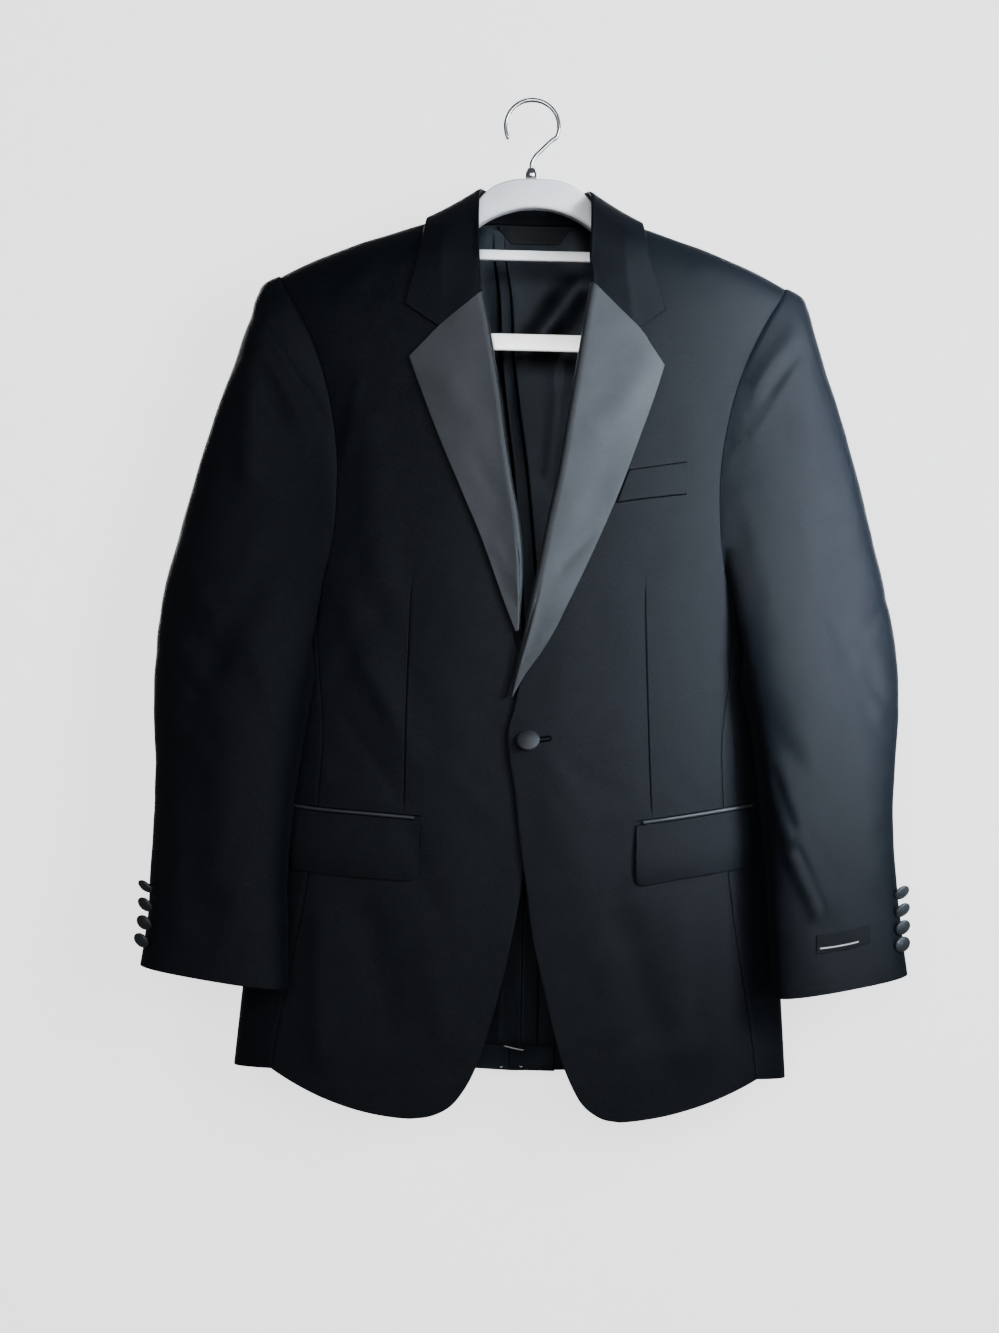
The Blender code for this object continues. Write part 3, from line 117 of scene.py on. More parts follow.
# The foreparts' inner edges: the round front corner, the front edge, the roll of the lapel and the
# neckline, by the same rows.
FRONT_EDGES = {
    RIGHT: table(
        "row x z",
        (0, -86, -906), (1, -68, -903), (2, -51, -894), (3, -38, -877), (4, -28, -855), (5, -19, -826),
        (6, -11, -795), (7, -3, -758), (8, 5, -710), (9, 9, -668), (10, 13, -628), (11, 14, -590),
        (12, 11, -552), (13, 4, -515), (14, -2, -481), (15, -1, -446), (16, -1, -414), (17, -5, -380),
        (18, -12, -346), (19, -18, -312), (20, -23, -278), (21, -29, -245), (22, -35, -213), (23, -41, -186),
        (24, -46.5, -160), (25, -53, -136), (26, -60, -118), (27, -68, -107),
    ),
    LEFT: table(
        "row x z",
        (0, 97, -905), (1, 81, -902), (2, 66, -892), (3, 56, -877), (4, 45, -852), (5, 36, -821),
        (6, 27, -786), (7, 17, -745), (8, 10, -700), (9, 3, -655), (10, -2, -615), (11, -8, -583),
        (12, -9, -555), (13, -4, -522), (14, 3, -484), (15, 10, -446), (16, 17, -408), (17, 23, -374),
        (18, 30, -339), (19, 35, -305), (20, 40, -270), (21, 45, -236), (22, 50, -203), (23, 54, -176),
        (24, 57.5, -152), (25, 62.5, -133), (26, 69, -117), (27, 76, -107),
    ),
}
LAPEL_ROWS = {RIGHT: (14, 23), LEFT: (12.5, 23)}  # from the lowest point of the lapel to the gorge
LAPEL_EDGES = {
    RIGHT: table(
        "row x z",
        (14, -3, -481), (15, -14, -455), (17, -35, -401), (19, -54, -358), (21, -77, -306), (22, -88, -279),
        (23, -102, -243),
    ),
    LEFT: table(
        "row x z",
        (12.5, -6.2, -535), (13, 3.2, -517), (14, 20, -492), (16, 53, -424), (18, 79, -362), (20, 98, -308),
        (22, 112, -266), (23, 118, -245),
    ),
}
NOTCH = {RIGHT: (-77, -217), LEFT: (96, -214)}
COLLAR_TIP = {RIGHT: (-107, -197), LEFT: (118.5, -197)}
BACK_NECK = table("row out z", (23, 0, -97), (24, 24, -98), (25, 45, -101), (26, 62, -105), (27, 72, -107))
BACK_HEM_Z = -882.0
BACK_CENTRE = table(
    "row z",
    (0, BACK_HEM_Z), (5, -800), (8, -700), (12, -553), (15, -440), (19, -268), (23, -97),
)

# Walls and gaps.
WALL = 2.0
SATIN_WALL = 1.6
COLLAR_WALL = 2.2
LINING_WALL = 1.0
SEAM_GAP = 0.32
LAY_GAP = 0.5
LAP_LIFT = 2.3  # the lapped foreparts part by this on each side of the shared surface
LAP_REACH = (18.0, 70.0)

# The roll of the lapels and the collar: out from the roll line, and over the panel under it.
ROLL_PROFILE = table("out height", (3.0, -3.6), (1.0, -3.2), (0.1, -1.0), (0.3, 2.6), (1.4, 4.6), (4.6, 5.2))
PANEL_INSET = 4.0  # the panel's edge stays this far back inside the roll
LAPEL_START = 0.12  # the leaf starts this many rows over its lowest point
WRAP_FROM, WRAP_OVER, WRAP_LEAST = 6.0, 28.0, 0.04  # a narrow leaf wraps the roll less, by its width
THIN_LEAF_WIDTH = 20.0  # a narrower leaf lies lower
LEAF_EDGE_LIFT = 2.7
LEAF_ROLL_LIFT = 5.2

# The collar, by stations from the gorge (0) to the centre of the back (7).
COLLAR = table(
    "station stand_out stand_y stand_z roll_out roll_y roll_z fall_out fall_y fall_z",
    (0, 50, -62, -186, 47, -69, -184, 111, -62, -197), (1, 52, -50, -152, 48.5, -62, -154, 101, -53, -157),
    (2, 57, -36, -128, 50, -45, -119, 97, -42, -135), (3, 64.5, -18, -114, 50.5, -25, -95, 95, -24, -119),
    (4, 69, 0, -103.5, 49.5, -3, -80, 95, 2, -111), (5, 60, 26, -101, 43, 20, -77, 84, 32, -121),
    (6, 38, 42, -100, 27, 40, -76, 50, 52, -127), (7, 0, 46, -99.5, 0, 47.5, -76, 0, 60, -128),
)
STAND_HEIGHT = -5.3  # the stand lies inside the neckline
FOLD_PROFILE = table("across down", (-2.6, 3.0), (-1.8, 0.8), (0.0, 0.0), (1.8, 0.8), (2.6, 3.0))
FALL_LIFT, FALL_SWELL = 4.6, 2.0
FALL_SETTLES = (0.05, 0.5)  # shares of the fall over which it comes to lie on the coat
GORGE_REACH = (0, 1.2)  # stations over which the collar takes up the gorge's shape

# The sleeves. From the armhole to ring 9 each column is one curve. From there down a ring is an oval
# between its outer and inner edges, seen from the front, with its half depth.
BICEPS_RING, CUFF_RING = 9, 15
RING_COLUMNS = "ring outer_out outer_z outer_y inner_out inner_z inner_y depth"
SLEEVES = {
    RIGHT: table(
        RING_COLUMNS,
        (8, 320, -447, -2, 181, -486, -54, 44), (9, 327, -500, -7, 185, -524, -56, 42),
        (10, 329, -545, -12, 190, -557, -59, 38), (11, 326, -600, -18, 196, -604, -62, 34),
        (12, 326, -645, -24, 200, -647, -64, 32), (13, 327, -690, -30, 202, -692, -66, 30),
        (14, 328, -735, -37, 200, -740, -68, 28), (15, 333, -782, -44, 198, -790, -70, 26),
    ),
    LEFT: table(
        RING_COLUMNS,
        (8, 322, -447, -2, 186, -486, -54, 44), (9, 331, -495, -7, 193, -524, -56, 42),
        (10, 334, -538, -12, 201, -557, -59, 38), (11, 332, -593, -18, 208, -604, -62, 34),
        (12, 331, -640, -24, 212, -647, -64, 32), (13, 334, -685, -30, 216, -692, -66, 30),
        (14, 339, -730, -37, 219, -740, -68, 28), (15, 345, -774, -44, 223, -788, -70, 26),
    ),
}
CAP_OUTLINE = table(
    "z out",
    (-164, 226), (-169, 237), (-181, 246), (-202, 252), (-230, 261), (-272, 275), (-325, 290), (-388, 306),
    (-447, 321), (-500, 329),
)
# Where the columns that start at the armhole's lower front and back corners stand round the rings.
CORNER_TURNS = (172.0, 226.0)
CAP_LEAVE, CAP_ARRIVE = 0.34, 0.55  # how far the columns keep their direction, by their length
CAP_DROP, CAP_SWELL = 0.25, 0.3  # they leave the armhole a little downwards and away from the body
RING_SPREAD = 1.25  # the rings stand closer near the armhole
UNDERARM_LEAVE = 9.0
UNDERARM_RISE = 70.0  # above the armhole's bottom, over which the columns turn from short to long
SLEEVE_CLEAR = 6.0  # between the sleeve and the body beside it
ARMPIT_CLEAR = 1.6  # the same, close under the armhole
CLEAR_DEPTH = 45.0  # the sleeve hangs clear from this far under the armhole
BACK_SEAM_COLUMN = 2  # columns behind the top of the sleeve
FRONT_SEAM_COLUMN = 1  # columns behind the front corner of the armhole

# The largest folds, from end to end as seen from the front, on the front (-1) or the back (1).
FOLD_COLUMNS = "face x0 z0 x1 z1 width rise"
BODY_FOLDS = table(
    FOLD_COLUMNS,
    (-1, -138, -300, -122, -440, 17, 2.6), (-1, -150, -455, -95, -585, 15, 2.2),
    (-1, -128, -735, -108, -820, 17, -2.6), (-1, -176, -735, -168, -845, 18, 2.4),
    (-1, 150, -300, 132, -410, 16, 2.0), (-1, 96, -735, 122, -815, 17, -3.0),
    (-1, 150, -730, 158, -840, 20, 2.6), (-1, 40, -640, 78, -760, 20, 1.8),
    (1, -120, -190, -92, -330, 22, 2.6), (1, 126, -185, 100, -320, 22, 2.8),
    (1, -60, -430, 60, -452, 18, 2.2), (1, -90, -560, -110, -800, 24, 2.6), (1, 92, -590, 118, -820, 22, 2.4),
)
SLEEVE_FOLDS = {
    RIGHT: table(
        FOLD_COLUMNS,
        (-1, -241, -215, -238, -350, 13, 3.4), (-1, -226, -222, -180, -296, 11, 3.0),
        (-1, -236, -262, -196, -330, 13, -2.6), (-1, -214, -420, -262, -500, 15, -2.2),
        (-1, -300, -470, -262, -512, 13, -2.4), (-1, -250, -560, -248, -700, 20, 2.4),
        (1, -236, -230, -258, -380, 18, 3.0), (1, -292, -455, -240, -492, 15, -3.4),
        (1, -286, -520, -236, -545, 15, -2.8), (1, -262, -600, -268, -740, 20, 2.2),
    ),
    LEFT: table(
        FOLD_COLUMNS,
        (-1, 243, -206, 252, -440, 17, 3.2), (-1, 253, -470, 246, -660, 19, 2.8),
        (-1, 231, -218, 204, -254, 11, 2.4), (-1, 274, -462, 306, -520, 13, -3.2),
        (-1, 218, -590, 240, -642, 12, 3.0), (-1, 236, -655, 262, -704, 12, 3.0),
        (1, 240, -225, 264, -370, 18, 3.2), (1, 304, -450, 250, -486, 15, -3.2),
        (1, 300, -512, 246, -530, 15, -2.6), (1, 276, -590, 284, -735, 20, 2.4),
    ),
}
FOLD_FADE = (170.0, 196.0)  # the body's folds end before the side seams, by distance from the centre
CAP_FOLDS_FROM, CUFF_FOLDS_TO = (0, 2), (13.5, 15)  # the rings over which the sleeve's folds start and end
FOLD_WRAP = 1.6  # how far the folds of one face of a sleeve reach round its edges

# Pockets. Outlines are in the front view.
FLAP = {
    RIGHT: table(
        "out top_z bottom_z",
        (87, -644, -697), (130, -641.5, -696), (190, -638, -692), (200, -637, -691),
    ),
    LEFT: table(
        "out top_z bottom_z",
        (101, -644, -698), (140, -638, -690), (188, -630, -682), (204, -627.5, -679),
    ),
}
FLAP_CORNER = 9.0
FLAP_WALL, FLAP_LIFT = 2.0, 2.8
JET_HEIGHT, JET_WALL = 3.2, 1.2
WELT = table("out top_z bottom_z", (86, -336.5, -364), (100, -334, -361), (137, -327.5, -354.5))
WELT_WALL = 1.4
WELT_LEAN = 9.5  # the foot of its front end lies this much nearer the centre

# Back vent and lining.
VENT_TOP_Z, UNDERLAP_WIDTH = -655.0, 38.0
LINING_TOP_Z, LINING_HEM_Z = -103.0, -858.0
LINING_REACH = 130.0
LINING_LIFT = -2.9
LINING_NECK_FALL = 1.7
# The lining ends this far under the neck, and more under the shoulders, by distance from the centre.
LINING_TUCK, LINING_SLOPE, LINING_SLOPE_OUT = 9.0, 30.0, (55, 85)
LINING_CLOSER_ROWS = 1.3  # over 1 for rows that stand closer at the top
LINING_THINNED = 0.6  # the fine sheet's share of the wall
# Where the lining steps over the vent's underlap: above the vent, and by x at both sides.
UNDERLAP_STEP = {"above": (-90, -50), "start": (-22, -6), "end": (47, 62)}
PLEAT = table(
    "z x rise",
    (-858, 26, 1.0), (-500, 20, 2.0), (-409, 13, 4.0), (-336, 5, 6.0), (-225, -11, 8.0), (-160, -16, 7.0),
    (-125, -22, 1.5), (-103, -24, 0.0),
)
# The lining's columns, from the pleat (0) out to its sides, and the pleat's ridge on them.
LINING_COLUMNS = table(
    "share ridge",
    (-1, 0), (-0.72, 0), (-0.45, 0), (-0.26, 0), (-0.11, 0), (-0.104, 0.15), (-0.097, 0.75), (-0.09, 0.98),
    (-0.075, 0.98), (-0.04, 0.88), (-0.012, 0.76), (-0.004, 0.6), (0.004, 0.05), (0.012, 0), (0.05, 0),
    (0.15, 0), (0.3, 0), (0.5, 0), (0.74, 0), (1, 0),
)
NECK_LABEL = table("x top_z bottom_z", (-29, -99, -101), (-16, -99, -115), (29, -99, -115), (39, -99, -101))
LABEL_WALL, LABEL_RIM = 0.8, 0.3

# Buttons.
FRONT_BUTTON = {"x": 9.0, "z": -572.0}
SLEEVE_BUTTON_INSET = {RIGHT: (3.5, 3.5, 4, 4), LEFT: (3.5, 4.5, 6, 7.5)}  # from the sleeve's outer edge
SLEEVE_BUTTON_Z = {RIGHT: (-706, -722, -737.5, -753), LEFT: (-696, -711, -725.5, -740)}
BUTTON_GAP = 0.45
SLEEVE_LABEL = table("x top_z bottom_z", (258, -730.5, -746.5), (306, -721.5, -737.5))

# Hanger: the arch in the neck and the arms in the shoulders, by their heights.
HANGER = table(
    "out top under half_depth",
    (0, -70, -96, 7), (14, -70.4, -97.2, 7), (26, -72.5, -100.5, 7), (38, -78, -105.5, 7),
    (51, -90.5, -114, 7.5), (58, -101.5, -120, 7.5), (65, -112, -127, 7.5), (72, -117.5, -131, 8),
    (95, -117, -133, 9), (130, -128.6, -143.5, 9.5), (170, -142.5, -157, 9.5), (196, -153.2, -166, 8.5),
    (205, -158, -166, 6),
)
HANGER_CORNER = 3.0
BAR_GAP = 0.3
CROSSBAR = {"z": -138.5, "height": 9.0, "depth": 6.0}
TROUSER_BAR = {"height": 15.0, "depth": 6.0}
TROUSER_BAR_PATH = table(
    "out z",
    (0, -216.5), (160, -216.5), (178, -213.5), (190, -204), (196, -190), (198, -166.4),
)
BAR_CORNER = 1.5
BAR_TAPER = 0.45  # share of its height that the lower bar loses where it stands upright
BOSS = table("z radius", (-69.7, 5.5), (-64, 5.5), (-61.5, 4), (-59.8, 4))
HOOK_WIRE, HOOK_RADIUS = 2.0, 24.0  # radius of the wire, and of its middle line over the crown
HOOK_STEM = table("x z", (0, -59.5), (0, -56), (3, -49.5), (10, -42), (18, -34))
HOOK_TURNS = (-20.0, 205.0)
HOOK_CROWN_Z = -22.0  # the crown's centre

# What the fine cloth adds to the solids' forms.
SLEEVE_COLUMNS = CORNER_COLUMN + SIDE_COLUMNS + CORNER_COLUMN
SEAM_TOUCH = 0.12  # half the gap at a seam
SEAM_RIM = 0.5  # rounding of the edges beside a seam
SEAM_SHADE_THREAD, SEAM_DEPTH = 0.5, 0.65  # radius of a seam's dark line, a thread that also stands in for the seam's painted shade, and its depth under the cloth's face
SEAM_POINTS = 110  # along a long seam
DARTS = {
    RIGHT: table("z x", (-420, -95), (-487, -97), (-557, -98), (-632, -98)),
    LEFT: table("z x", (-419, 106), (-482, 109), (-569, 114), (-632, 118)),
}
DART_LINE = (0.6, 0.7)  # depth and half width of the stitched line
DART_DIMPLE = (0.5, 10.0)  # and of the soft dimple along it
DART_FADE = (30.0, 6.0)  # the groove fades in and out over these at its top and its foot
ALLOWANCE = ((4.0, 3.5), (3.6, 1.0), (1.6, 0.0))  # depth and reach of the sleeve's turned-in seam edge
UNDERLAP_TURN = 4.0  # the underlap starts this far inside the other back
# The white tacks by the vent: x, z and depth inside the back's outer face.
BASTING = (
    ((-5.2, -858.2, 4.2), (-4.2, -858.6, 5.0), (4.0, -860.4, 5.8), (12.0, -861.8, 5.8), (13.2, -862.0, 4.6)),
    ((-8.3, -878.4, 2.0), (-7.2, -878.8, 2.8), (-6.0, -878.4, 2.0)),
    ((10.2, -877.2, 4.4), (11.3, -877.5, 5.2), (12.5, -877.2, 4.4)),
)
BASTING_RADIUS = 0.45
LEAF_EASING = 70
FALL_FREE = 9.0  # the fall may stand this deep in the open neck beside its fold
SLEEVE_SLIM, CUFF_RAISE = 5.0, 6.0  # the cloth hangs this much inside the solid's outer edge and hem
SLIM_DROP, RAISE_DROP = (300, 640), (560, 770)  # heights below the top over which it comes in and up
LOWER_SLEEVE, SLEEVE_FRONT = (11.5, CUFF_RING), (0.2, 12)  # rings and columns on which small things sit
SLEEVE_SQUARE = 0.82  # under 1 for a flatter front and rounder edges than an ellipse's
SLEEVE_ROPE = 1.4  # the head of the sleeve stands this much over the shoulder
FLAP_SWELL, JET_SWELL, JET_START = 2.0, 0.9, 0.6
LABEL_SAG = 1.2
BUTTONHOLE = {"start": (15.0, -571.5), "end": (27.0, -569.5), "half": 1.5, "pitch": 0.55}
STITCH_REACH, STITCH_POINTS, STITCH_RADIUS = (-0.5, 1.1), 5, 0.2  # across the slit's edge
STITCH_SEAT, STITCH_CROWN = 0.16, 0.3  # heights over the cloth
FRONT_BUTTON_AXIS = (-0.12, -1.0, 0.42)
FRONT_BUTTON_STAND, BUTTON_OVAL = 3.2, 1.12
BUTTON_RIM = 0.36
TUCK_COUNT, TUCK_DEPTH = 16, 0.018
SLEEVE_BUTTON_STAND = 0.8
SLEEVE_BUTTON_LEAN = {
    RIGHT: table(
        "out ahead up",
        (0.5, 0.55, -0.68), (0.48, 0.7, -0.52), (0.42, 0.8, -0.44), (0.45, 0.76, -0.46),
    ),
    LEFT: table(
        "out ahead up",
        (0.46, 0.7, -0.54), (0.45, 0.72, -0.52), (0.42, 0.8, -0.42), (0.36, 0.88, -0.3),
    ),
}
STAGE = {"half_width": 3600.0, "top": 2200.0, "floor": -1500.0, "ahead": -4200.0, "wall_y": 74.0}
WALL_GLOW, AIR_GLOW = 2.4, 0.1
KEY = {"place": (0.5, -0.42, -0.225), "target": (0.318, 0.0, -0.295), "size": (0.14, 0.66), "spread": 72.0}
LIT_MIDDLE = (0.0, 0.0, -0.5)  # what the other lights look at, in metres
NECK_SPOT = {"place": (-0.1, -2.2, -0.32), "target": (0.0, 0.0, -0.225), "cone": 5.4}
CAMERA = {"place": (-0.0176, -1.6, -0.5084), "roll": 1.4, "lens": 48.01, "sensor": 36.0}

# Fine creases: face, ends as seen from the front, width and rise.
BODY_CREASES = table(
    FOLD_COLUMNS,
    (-1, -146, -262, -158, -330, 7, 1.2), (-1, -120, -460, -162, -520, 9, -1.0),
    (-1, -140, -505, -104, -560, 8, 1.1), (-1, -150, -560, -106, -618, 7, -0.9),
    (-1, -168, -610, -120, -632, 8, 0.9), (-1, -92, -655, -70, -720, 10, -1.0),
    (-1, -60, -600, -20, -640, 9, 0.8), (-1, -74, -742, -62, -830, 12, 1.0), (-1, 30, -592, 64, -640, 9, 0.9),
    (-1, 52, -600, 92, -622, 8, -0.7), (-1, 128, -470, 152, -560, 10, 0.9),
    (-1, 138, -600, 168, -632, 8, -0.8), (-1, 92, -700, 70, -790, 10, -1.1),
    (-1, 150, -160, 176, -200, 12, 0.9), (-1, -140, -158, -168, -196, 12, 0.9),
    (1, -150, -360, -110, -420, 12, -1.1), (1, 148, -345, 112, -410, 12, -1.0),
    (1, -120, -480, -70, -500, 10, 1.0), (1, 60, -490, 118, -476, 10, -0.9),
    (1, -30, -140, 40, -146, 10, -0.8), (1, 30, -620, 52, -760, 12, 0.9), (1, -40, -640, -60, -780, 12, -0.9),
)
SLEEVE_CREASES = {
    RIGHT: table(
        FOLD_COLUMNS,
        (-1, -222, -216, -192, -262, 5, -1.3), (-1, -232, -238, -200, -290, 5, 1.2),
        (-1, -228, -282, -186, -330, 6, -1.2), (-1, -246, -330, -204, -380, 8, 1.1),
        (-1, -292, -430, -264, -470, 7, 1.2), (-1, -308, -505, -276, -540, 7, -1.1),
        (-1, -230, -500, -204, -560, 8, 1.0), (-1, -300, -560, -262, -600, 9, 1.0),
        (-1, -222, -610, -244, -680, 9, -0.9), (-1, -292, -650, -286, -740, 11, 0.9),
        (-1, -230, -700, -252, -760, 10, 1.0), (1, -262, -300, -296, -400, 10, -1.1),
        (1, -300, -430, -262, -452, 7, 1.3), (1, -302, -486, -258, -520, 7, -1.2),
        (1, -280, -560, -236, -590, 9, 1.1), (1, -250, -640, -290, -700, 10, 0.9),
    ),
    LEFT: table(
        FOLD_COLUMNS,
        (-1, 238, -224, 212, -262, 5, -1.2), (-1, 230, -250, 200, -300, 6, 1.0),
        (-1, 296, -474, 322, -443, 6, -1.2), (-1, 262, -440, 296, -492, 6, 1.1),
        (-1, 286, -486, 316, -545, 6, 1.2), (-1, 300, -540, 326, -574, 6, -1.1),
        (-1, 222, -560, 250, -600, 8, -0.9), (-1, 242, -660, 264, -708, 3.6, -1.9),
        (-1, 234, -664, 256, -712, 4.5, 1.6), (-1, 220, -594, 238, -642, 3.6, -1.5),
        (-1, 213, -600, 231, -650, 4.5, 1.2), (-1, 246, -640, 282, -690, 6, -1.0),
        (-1, 256, -690, 292, -735, 8, 0.9), (-1, 300, -600, 310, -680, 10, 0.8),
        (1, 270, -290, 300, -395, 10, -1.1), (1, 312, -425, 266, -446, 7, 1.3),
        (1, 308, -480, 262, -505, 7, -1.2), (1, 296, -545, 250, -575, 9, 1.1),
        (1, 262, -630, 304, -695, 10, 0.9),
    ),
}
LAPEL_CREASES = table(
    FOLD_COLUMNS,
    (-1, 58, -395, 34, -420, 6, -0.7), (-1, 40, -462, 18, -480, 5, 0.7), (-1, 28, -500, 12, -512, 5, -0.5),
    (-1, 92, -270, 60, -300, 12, 0.7), (-1, -70, -262, -44, -300, 12, 0.7),
    (-1, -42, -330, -24, -360, 8, -0.5), (-1, -24, -405, -8, -430, 6, 0.5),
)
FLAP_CREASES = table(FOLD_COLUMNS, (-1, -110, -650, -116, -690, 10, 0.6), (-1, 150, -640, 158, -684, 14, 0.7))
LINING_CREASES = table(
    FOLD_COLUMNS,
    (1, -4, -136, 14, -160, 11, -1.5), (1, 4, -214, 44, -158, 13, 4.0), (1, 40, -214, 52, -170, 9, -0.6),
    (1, -40, -150, -26, -240, 8, -1.4), (1, 34, -200, 26, -330, 9, -1.6), (1, 60, -230, 44, -380, 10, 1.2),
    (1, -60, -260, -36, -380, 10, 1.2), (1, 30, -360, 44, -520, 10, 1.2), (1, -20, -420, -34, -600, 12, 1.0),
)
RIPPLES = table(
    "along_x along_y along_z turn height",
    (0.9, 0.3, 0.5, 0.4, 0.16), (-0.5, 0.7, 1.3, 2.1, 0.14), (1.7, -0.6, -0.8, 4.0, 0.1),
    (0.3, 1.2, -1.9, 5.2, 0.08),
)
RIPPLE_LENGTH = 60.0

# How fine the cloth is: the rows and columns of each grid, the steps of a roll and the stitch lines.
FRONT_GRID, SIDE_GRID, BACK_GRID, VENT_GRID = (190, 100), (120, 33), (180, 70), (60, 24)
SLEEVE_RINGS, TOP_SLEEVE_COLUMNS, UNDER_SLEEVE_COLUMNS = 170, 90, 80
LAPEL_ROW_COUNT, LAPEL_LEAF_COLUMNS, ROLL_COLUMNS = 130, 36, 21
COLLAR_ROW_COUNT, COLLAR_STAND_COLUMNS, COLLAR_LEAF_COLUMNS = 90, 8, 30
LINING_GRID, NECK_LABEL_GRID, SLEEVE_LABEL_GRID = (131, 130), (16, 60), (12, 40)
FLAP_GRID, JET_GRID, WELT_GRID = (40, 50), (8, 60), (24, 60)


def ripple(points):
    """Slight unevenness of hanging cloth, as a few crossing waves."""
    total = 0.0
    for along_x, along_y, along_z, turn, height in zip(*RIPPLES.values()):
        phase = points @ np.array((along_x, along_y, along_z)) * TAU / RIPPLE_LENGTH + turn
        total = total + height * np.sin(phase + np.sin(phase * 0.37))
    return total


# The cut of each sheet: width and length in mm, area in cm2, how it is held, and on what.
CUTS = {
    "cloth_front_right": (240, 800, 1387, "hung", ("hanger_body",)),
    "cloth_front_left": (242, 800, 1346, "hung", ("hanger_body",)),
    "cloth_side_right": (133, 468, 530, "hung", ("cloth_front_right", "cloth_back_right")),
    "cloth_side_left": (123, 468, 495, "hung", ("cloth_front_left", "cloth_back_left")),
    "cloth_back_right": (232, 787, 1490, "hung", ("hanger_body",)),
    "cloth_back_left": (232, 787, 1490, "hung", ("hanger_body",)),
    "cloth_vent_underlap": (42, 226, 94.9, "hung", ("cloth_back_left",)),
    "cloth_top_sleeve_right": (205, 642, 1080, "hung", ("cloth_front_right", "cloth_back_right")),
    "cloth_top_sleeve_left": (205, 640, 1060, "hung", ("cloth_front_left", "cloth_back_left")),
    "cloth_under_sleeve_right": (168, 618, 814, "hung", ("cloth_top_sleeve_right",)),
    "cloth_under_sleeve_left": (165, 616, 790, "hung", ("cloth_top_sleeve_left",)),
    "satin_lapel_right": (85, 292, 157, "folded", ("cloth_front_right",)),
    "satin_lapel_left": (94, 358, 203, "folded", ("cloth_front_left",)),
    "cloth_collar": (95, 524, 361, "folded", ("cloth_back_right", "cloth_back_left")),
    "lining_back": (262, 755, 1935, "hung", ("cloth_back_right", "cloth_back_left")),
    "label_neck": (68, 13, 7.6, "laid", ("lining_back",)),
    "label_sleeve": (51, 17, 8.3, "laid", ("cloth_top_sleeve_left",)),
    "cloth_flap_right": (114, 60, 60, "hung", ("cloth_front_right",)),
    "cloth_flap_left": (105, 58, 54, "hung", ("cloth_front_left",)),
    "satin_jet_right": (110, 10, 3.5, "laid", ("cloth_front_right",)),
    "satin_jet_left": (102, 10, 3.3, "laid", ("cloth_front_left",)),
    "cloth_breast_welt": (53, 28, 14.3, "laid", ("cloth_front_left",)),
}


# ---------------------------------------------------------------- curves and the shared surface


def cubic(at, keys, values):
    """A smooth curve through a table's rows, read at the given keys."""
    order = np.argsort(keys)
    keys, values = np.asarray(keys, float)[order], np.asarray(values, float)[order]
    slopes = np.gradient(values, keys)
    at = np.clip(at, keys[0], keys[-1])
    i = np.clip(np.searchsorted(keys, at) - 1, 0, len(keys) - 2)
    step = keys[i + 1] - keys[i]
    t = (at - keys[i]) / step
    start = (1 + 2 * t) * (1 - t) ** 2 * values[i] + t * (1 - t) ** 2 * step * slopes[i]
    end = t * t * (3 - 2 * t) * values[i + 1] - t * t * (1 - t) * step * slopes[i + 1]
    return start + end


def read(rows, column, at):
    """A column of a table at the given keys. The key is the table's first column."""
    return cubic(at, rows[next(iter(rows))], rows[column])


def traced(rows, edge, side, at):
    """Points of a named edge, from its columns for out, y and z."""
    out, y, z = (read(rows, f"{edge}_{name}", at) for name in ("out", "y", "z"))
    return np.stack([CENTRE + side * out, y, z], axis=-1)


def ease(value, start, end):
    """0 at start, 1 at end, smooth between."""
    t = np.clip((value - start) / (end - start), 0, 1)
    return t * t * (3 - 2 * t)


def mixed(start, end, share):
    """A straight blend from start to end."""
    return start * (1 - share) + end * share


def front_view(edge, at):
    """Points of an edge as seen from the front, as x and z."""
    return np.stack([read(edge, "x", at), read(edge, "z", at)], axis=-1)


def shoulder_z(x, face):
    return read(SHOULDER_LINE, "front_z" if face == FRONT else "back_z", np.abs(x - CENTRE))


def section(x, z, face):
    """How far across its half width, and how far up into the shoulder, a place on the body lies."""
    across = np.abs(x - read(BODY, "centre", z)) / read(BODY, "half_width", z)
    rise = np.clip(1 + (z - shoulder_z(x, face)) / SHOULDER_DROP, 0, None)
    depth = read(BODY, "front" if face == FRONT else "back", z)
    return across, rise, depth


def body_y(x, z, face):
    """y of the hanging body's surface, seen from its front or its back."""
    across, rise, depth = section(x, z, face)
    full = np.clip((1 - across**ROUNDNESS) * (1 - rise**ROUNDNESS), 0, None)
    return face * depth * full ** (1 / ROUNDNESS)


def fold_rise(folds, x, z, face):
    """Height of the folds on one face, as ridges and troughs along their lines."""
    total = np.zeros(np.broadcast(x, z).shape)
    for side_of, x0, z0, x1, z1, width, rise in zip(*folds.values()):
        run_x, run_z = x1 - x0, z1 - z0
        along = np.clip(((x - x0) * run_x + (z - z0) * run_z) / (run_x**2 + run_z**2), 0, 1)
        away = np.hypot(x - x0 - along * run_x, z - z0 - along * run_z)
        total = total + (side_of == face) * rise * np.exp(-((away / width) ** 2))
    return total


def on_body(x, z, face):
    folds = fold_rise(BODY_FOLDS, x, z, face) + fold_rise(BODY_CREASES, x, z, face)
    plain = np.stack([x, body_y(x, z, face), z], axis=-1)
    rise = (folds + ripple(plain)) * (1 - ease(np.abs(x - CENTRE), *FOLD_FADE))
    return plain + np.stack([0 * x, face * rise, 0 * z], axis=-1)


def level(points, face):
    """Negative inside the body, 0 on its surface, positive outside."""
    x, y, z = points[..., 0], points[..., 1], points[..., 2]
    across, rise, depth = section(x, z, face)
    return np.abs(y / depth) ** ROUNDNESS - (1 - across**ROUNDNESS) * (1 - rise**ROUNDNESS)


def slope_of_level(points, face):
    step = 0.05
    slopes = [level(points + m, face) - level(points - m, face) for m in np.eye(3) * step]
    return np.stack(slopes, axis=-1) / (2 * step)


